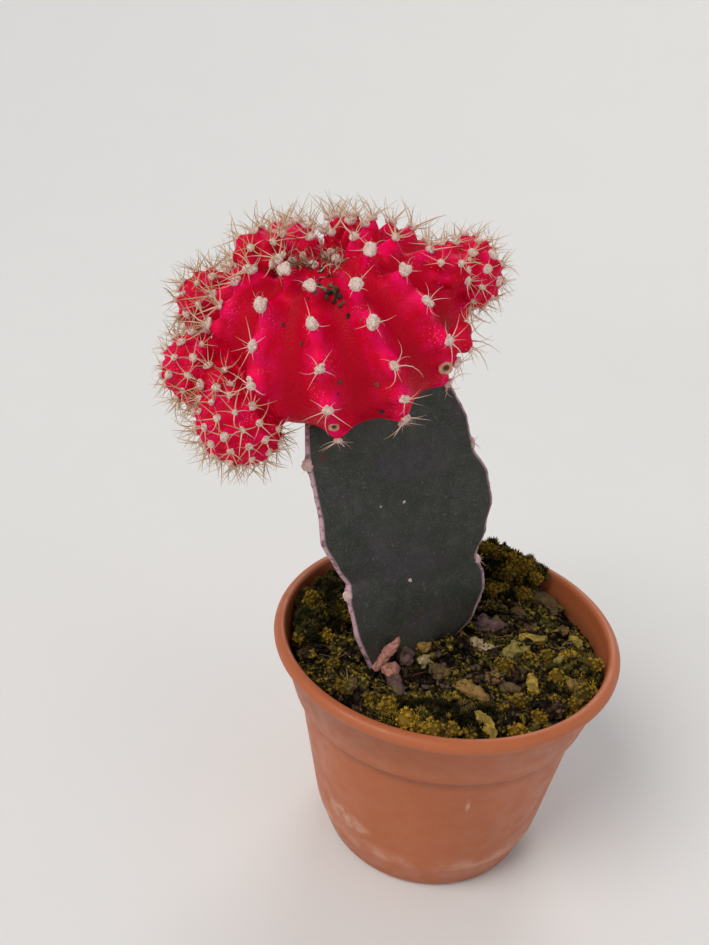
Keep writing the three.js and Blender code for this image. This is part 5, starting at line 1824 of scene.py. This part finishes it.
# The head's pads, hairs, spines and scars
random = np.random.default_rng(5)
pads, hairs, spines = dress_head(head, offsets, random)
small_pads, small_spines = dress_offsets(head, offsets, random)
skin = [surface_of(flesh)]
for x, y, size in CROWN_WOOL:
    place, outward = seen_on(skin, x, y)
    pads.add(place + outward * 0.3, facing=outward, size=size * MM)
tuft = WOOL_TUFT * MM
dressings = [
    pads.grow("wool_pads", WOOL, felt, 3, Fineness=3, Flatness=0.75, Tuft_Size=tuft, Tuft_Height=0.00010),
    small_pads.grow("offset_wool", WOOL, felt, 4, Fineness=2, Flatness=0.7, Tuft_Size=tuft,
                    Tuft_Height=0.00008, Lump_Height=0.0005),
    hairs.grow("wool_hairs", SPINES, felt, 5, Thickness=0.032, Bend=0.6, Sides=3),
    spines.grow("head_spines", SPINES, horn, 6, Thickness=0.025, Bend=0.28, Sides=5),
    small_spines.grow("offset_spines", SPINES, horn, 7, Thickness=0.029, Bend=0.2, Sides=4),
]
dressings += [make_scar(number, skin, scar, cork) for number, scar in enumerate(SCARS, 1)]

# The stem's felt, specks and small spines
felts, bristles = Points(), Points()
random = np.random.default_rng(8)
for place, outward in stem_areoles():
    felts.add(place + outward * 0.35, facing=outward, size=0.85 * MM, blush=0.5)
    star(bristles, random, place + outward * 0.8, outward, 4, 1.2, 50, 0.3)
for x, y, size in STEM_SPECKS:
    place, facing = seen_on([surface_of(stem)], x, y)
    felts.add(place, facing=facing, size=size * MM, blush=0.2)
dressings += [
    felts.grow("stem_wool", WOOL, felt, 9, Fineness=3, Flatness=0.6, Tuft_Size=tuft, Tuft_Height=0.00025),
    bristles.grow("stem_spines", SPINES, horn, 10, Thickness=0.05, Bend=0.1, Sides=5),
    crown_fibres(skin, bark),
]
for piece in dressings:
    declare(piece, "red_flesh")
declare(head_crumbs(skin, bark), "potting_mix")

# What lies on the mix
cushion_bases = [make_moss_base(cushion) for cushion in MOSS_CUSHIONS]
ground = [surface_of(piece) for piece in [mix] + cushion_bases]
for number, bit in enumerate(MIX_BITS, 1):
    declare(mix_bit(number, bit, ground, bark), "bark")
declare(stem_flap(stem, bark), "bark")
declare(moss_knobs(ground, moss), "moss")
declare(mix_fibres(bark), "bark")

strewn = {}
for name, margin, density, smallest, largest, unevenness, fineness, lift, seed in STREWN:
    strewn[name] = grow(name, strewing_surface(margin), CRUMBS, peat, seed, Density=density,
                        Smallest=smallest, Largest=largest, Unevenness=unevenness, Fineness=fineness,
                        Roughness=1.7, Lift=lift)
for name, base, seed, height, leaf_width in (
        ("moss_sprigs", strewing_surface(0.4), 23, 0.0010, 0.19),
        ("lump_sprigs", mossy_copy(strewn["mix_clods"]), 24, 0.0007, 0.2)):
    sprigs = grow(name, base, SHOOTS, moss, seed, Spacing=0.0007, Density=1600000.0, Height=height,
                  Leaf_Width=leaf_width, Keep_Surface=False)
    declare(sprigs, "moss")
for piece in strewn.values():
    declare(piece, "potting_mix")
declare(stem, "stock_skin", "rootstock")
declare(flesh, "red_flesh", "scion")
declare(mix, "potting_mix", "soil")
for number, (cushion, base) in enumerate(zip(MOSS_CUSHIONS, cushion_bases)):
    tufts = grow(cushion["name"] + "_tufts", base, SHOOTS, moss, 30 + number, Spacing=0.0006,
                 Density=3000000.0, Height=0.0011, Leaf_Width=0.16, Keep_Surface=True)
    declare(tufts, "moss", cushion["name"])
for number, (chip, tint) in enumerate(zip(BARK_CHIPS, (OCHRE, OLIVE, UMBER, PLUM)), 1):
    x, y, thick = chip["x"], chip["y"], chip["thick"]
    centre = [x, y, soil_height(x, y) + 0.35 + thick * 0.25]
    piece = sliver(f"chip_{number}", bark, centre, chip["turn"], chip["tilt"], chip["length"],
                   chip["width"] * 1.1, thick, 40 + number, tint)
    declare(piece, "bark", f"bark_chip_{number}")

size = {"cad": [list(corner) for corner in cad_box], "visual": [list(corner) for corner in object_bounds()]}
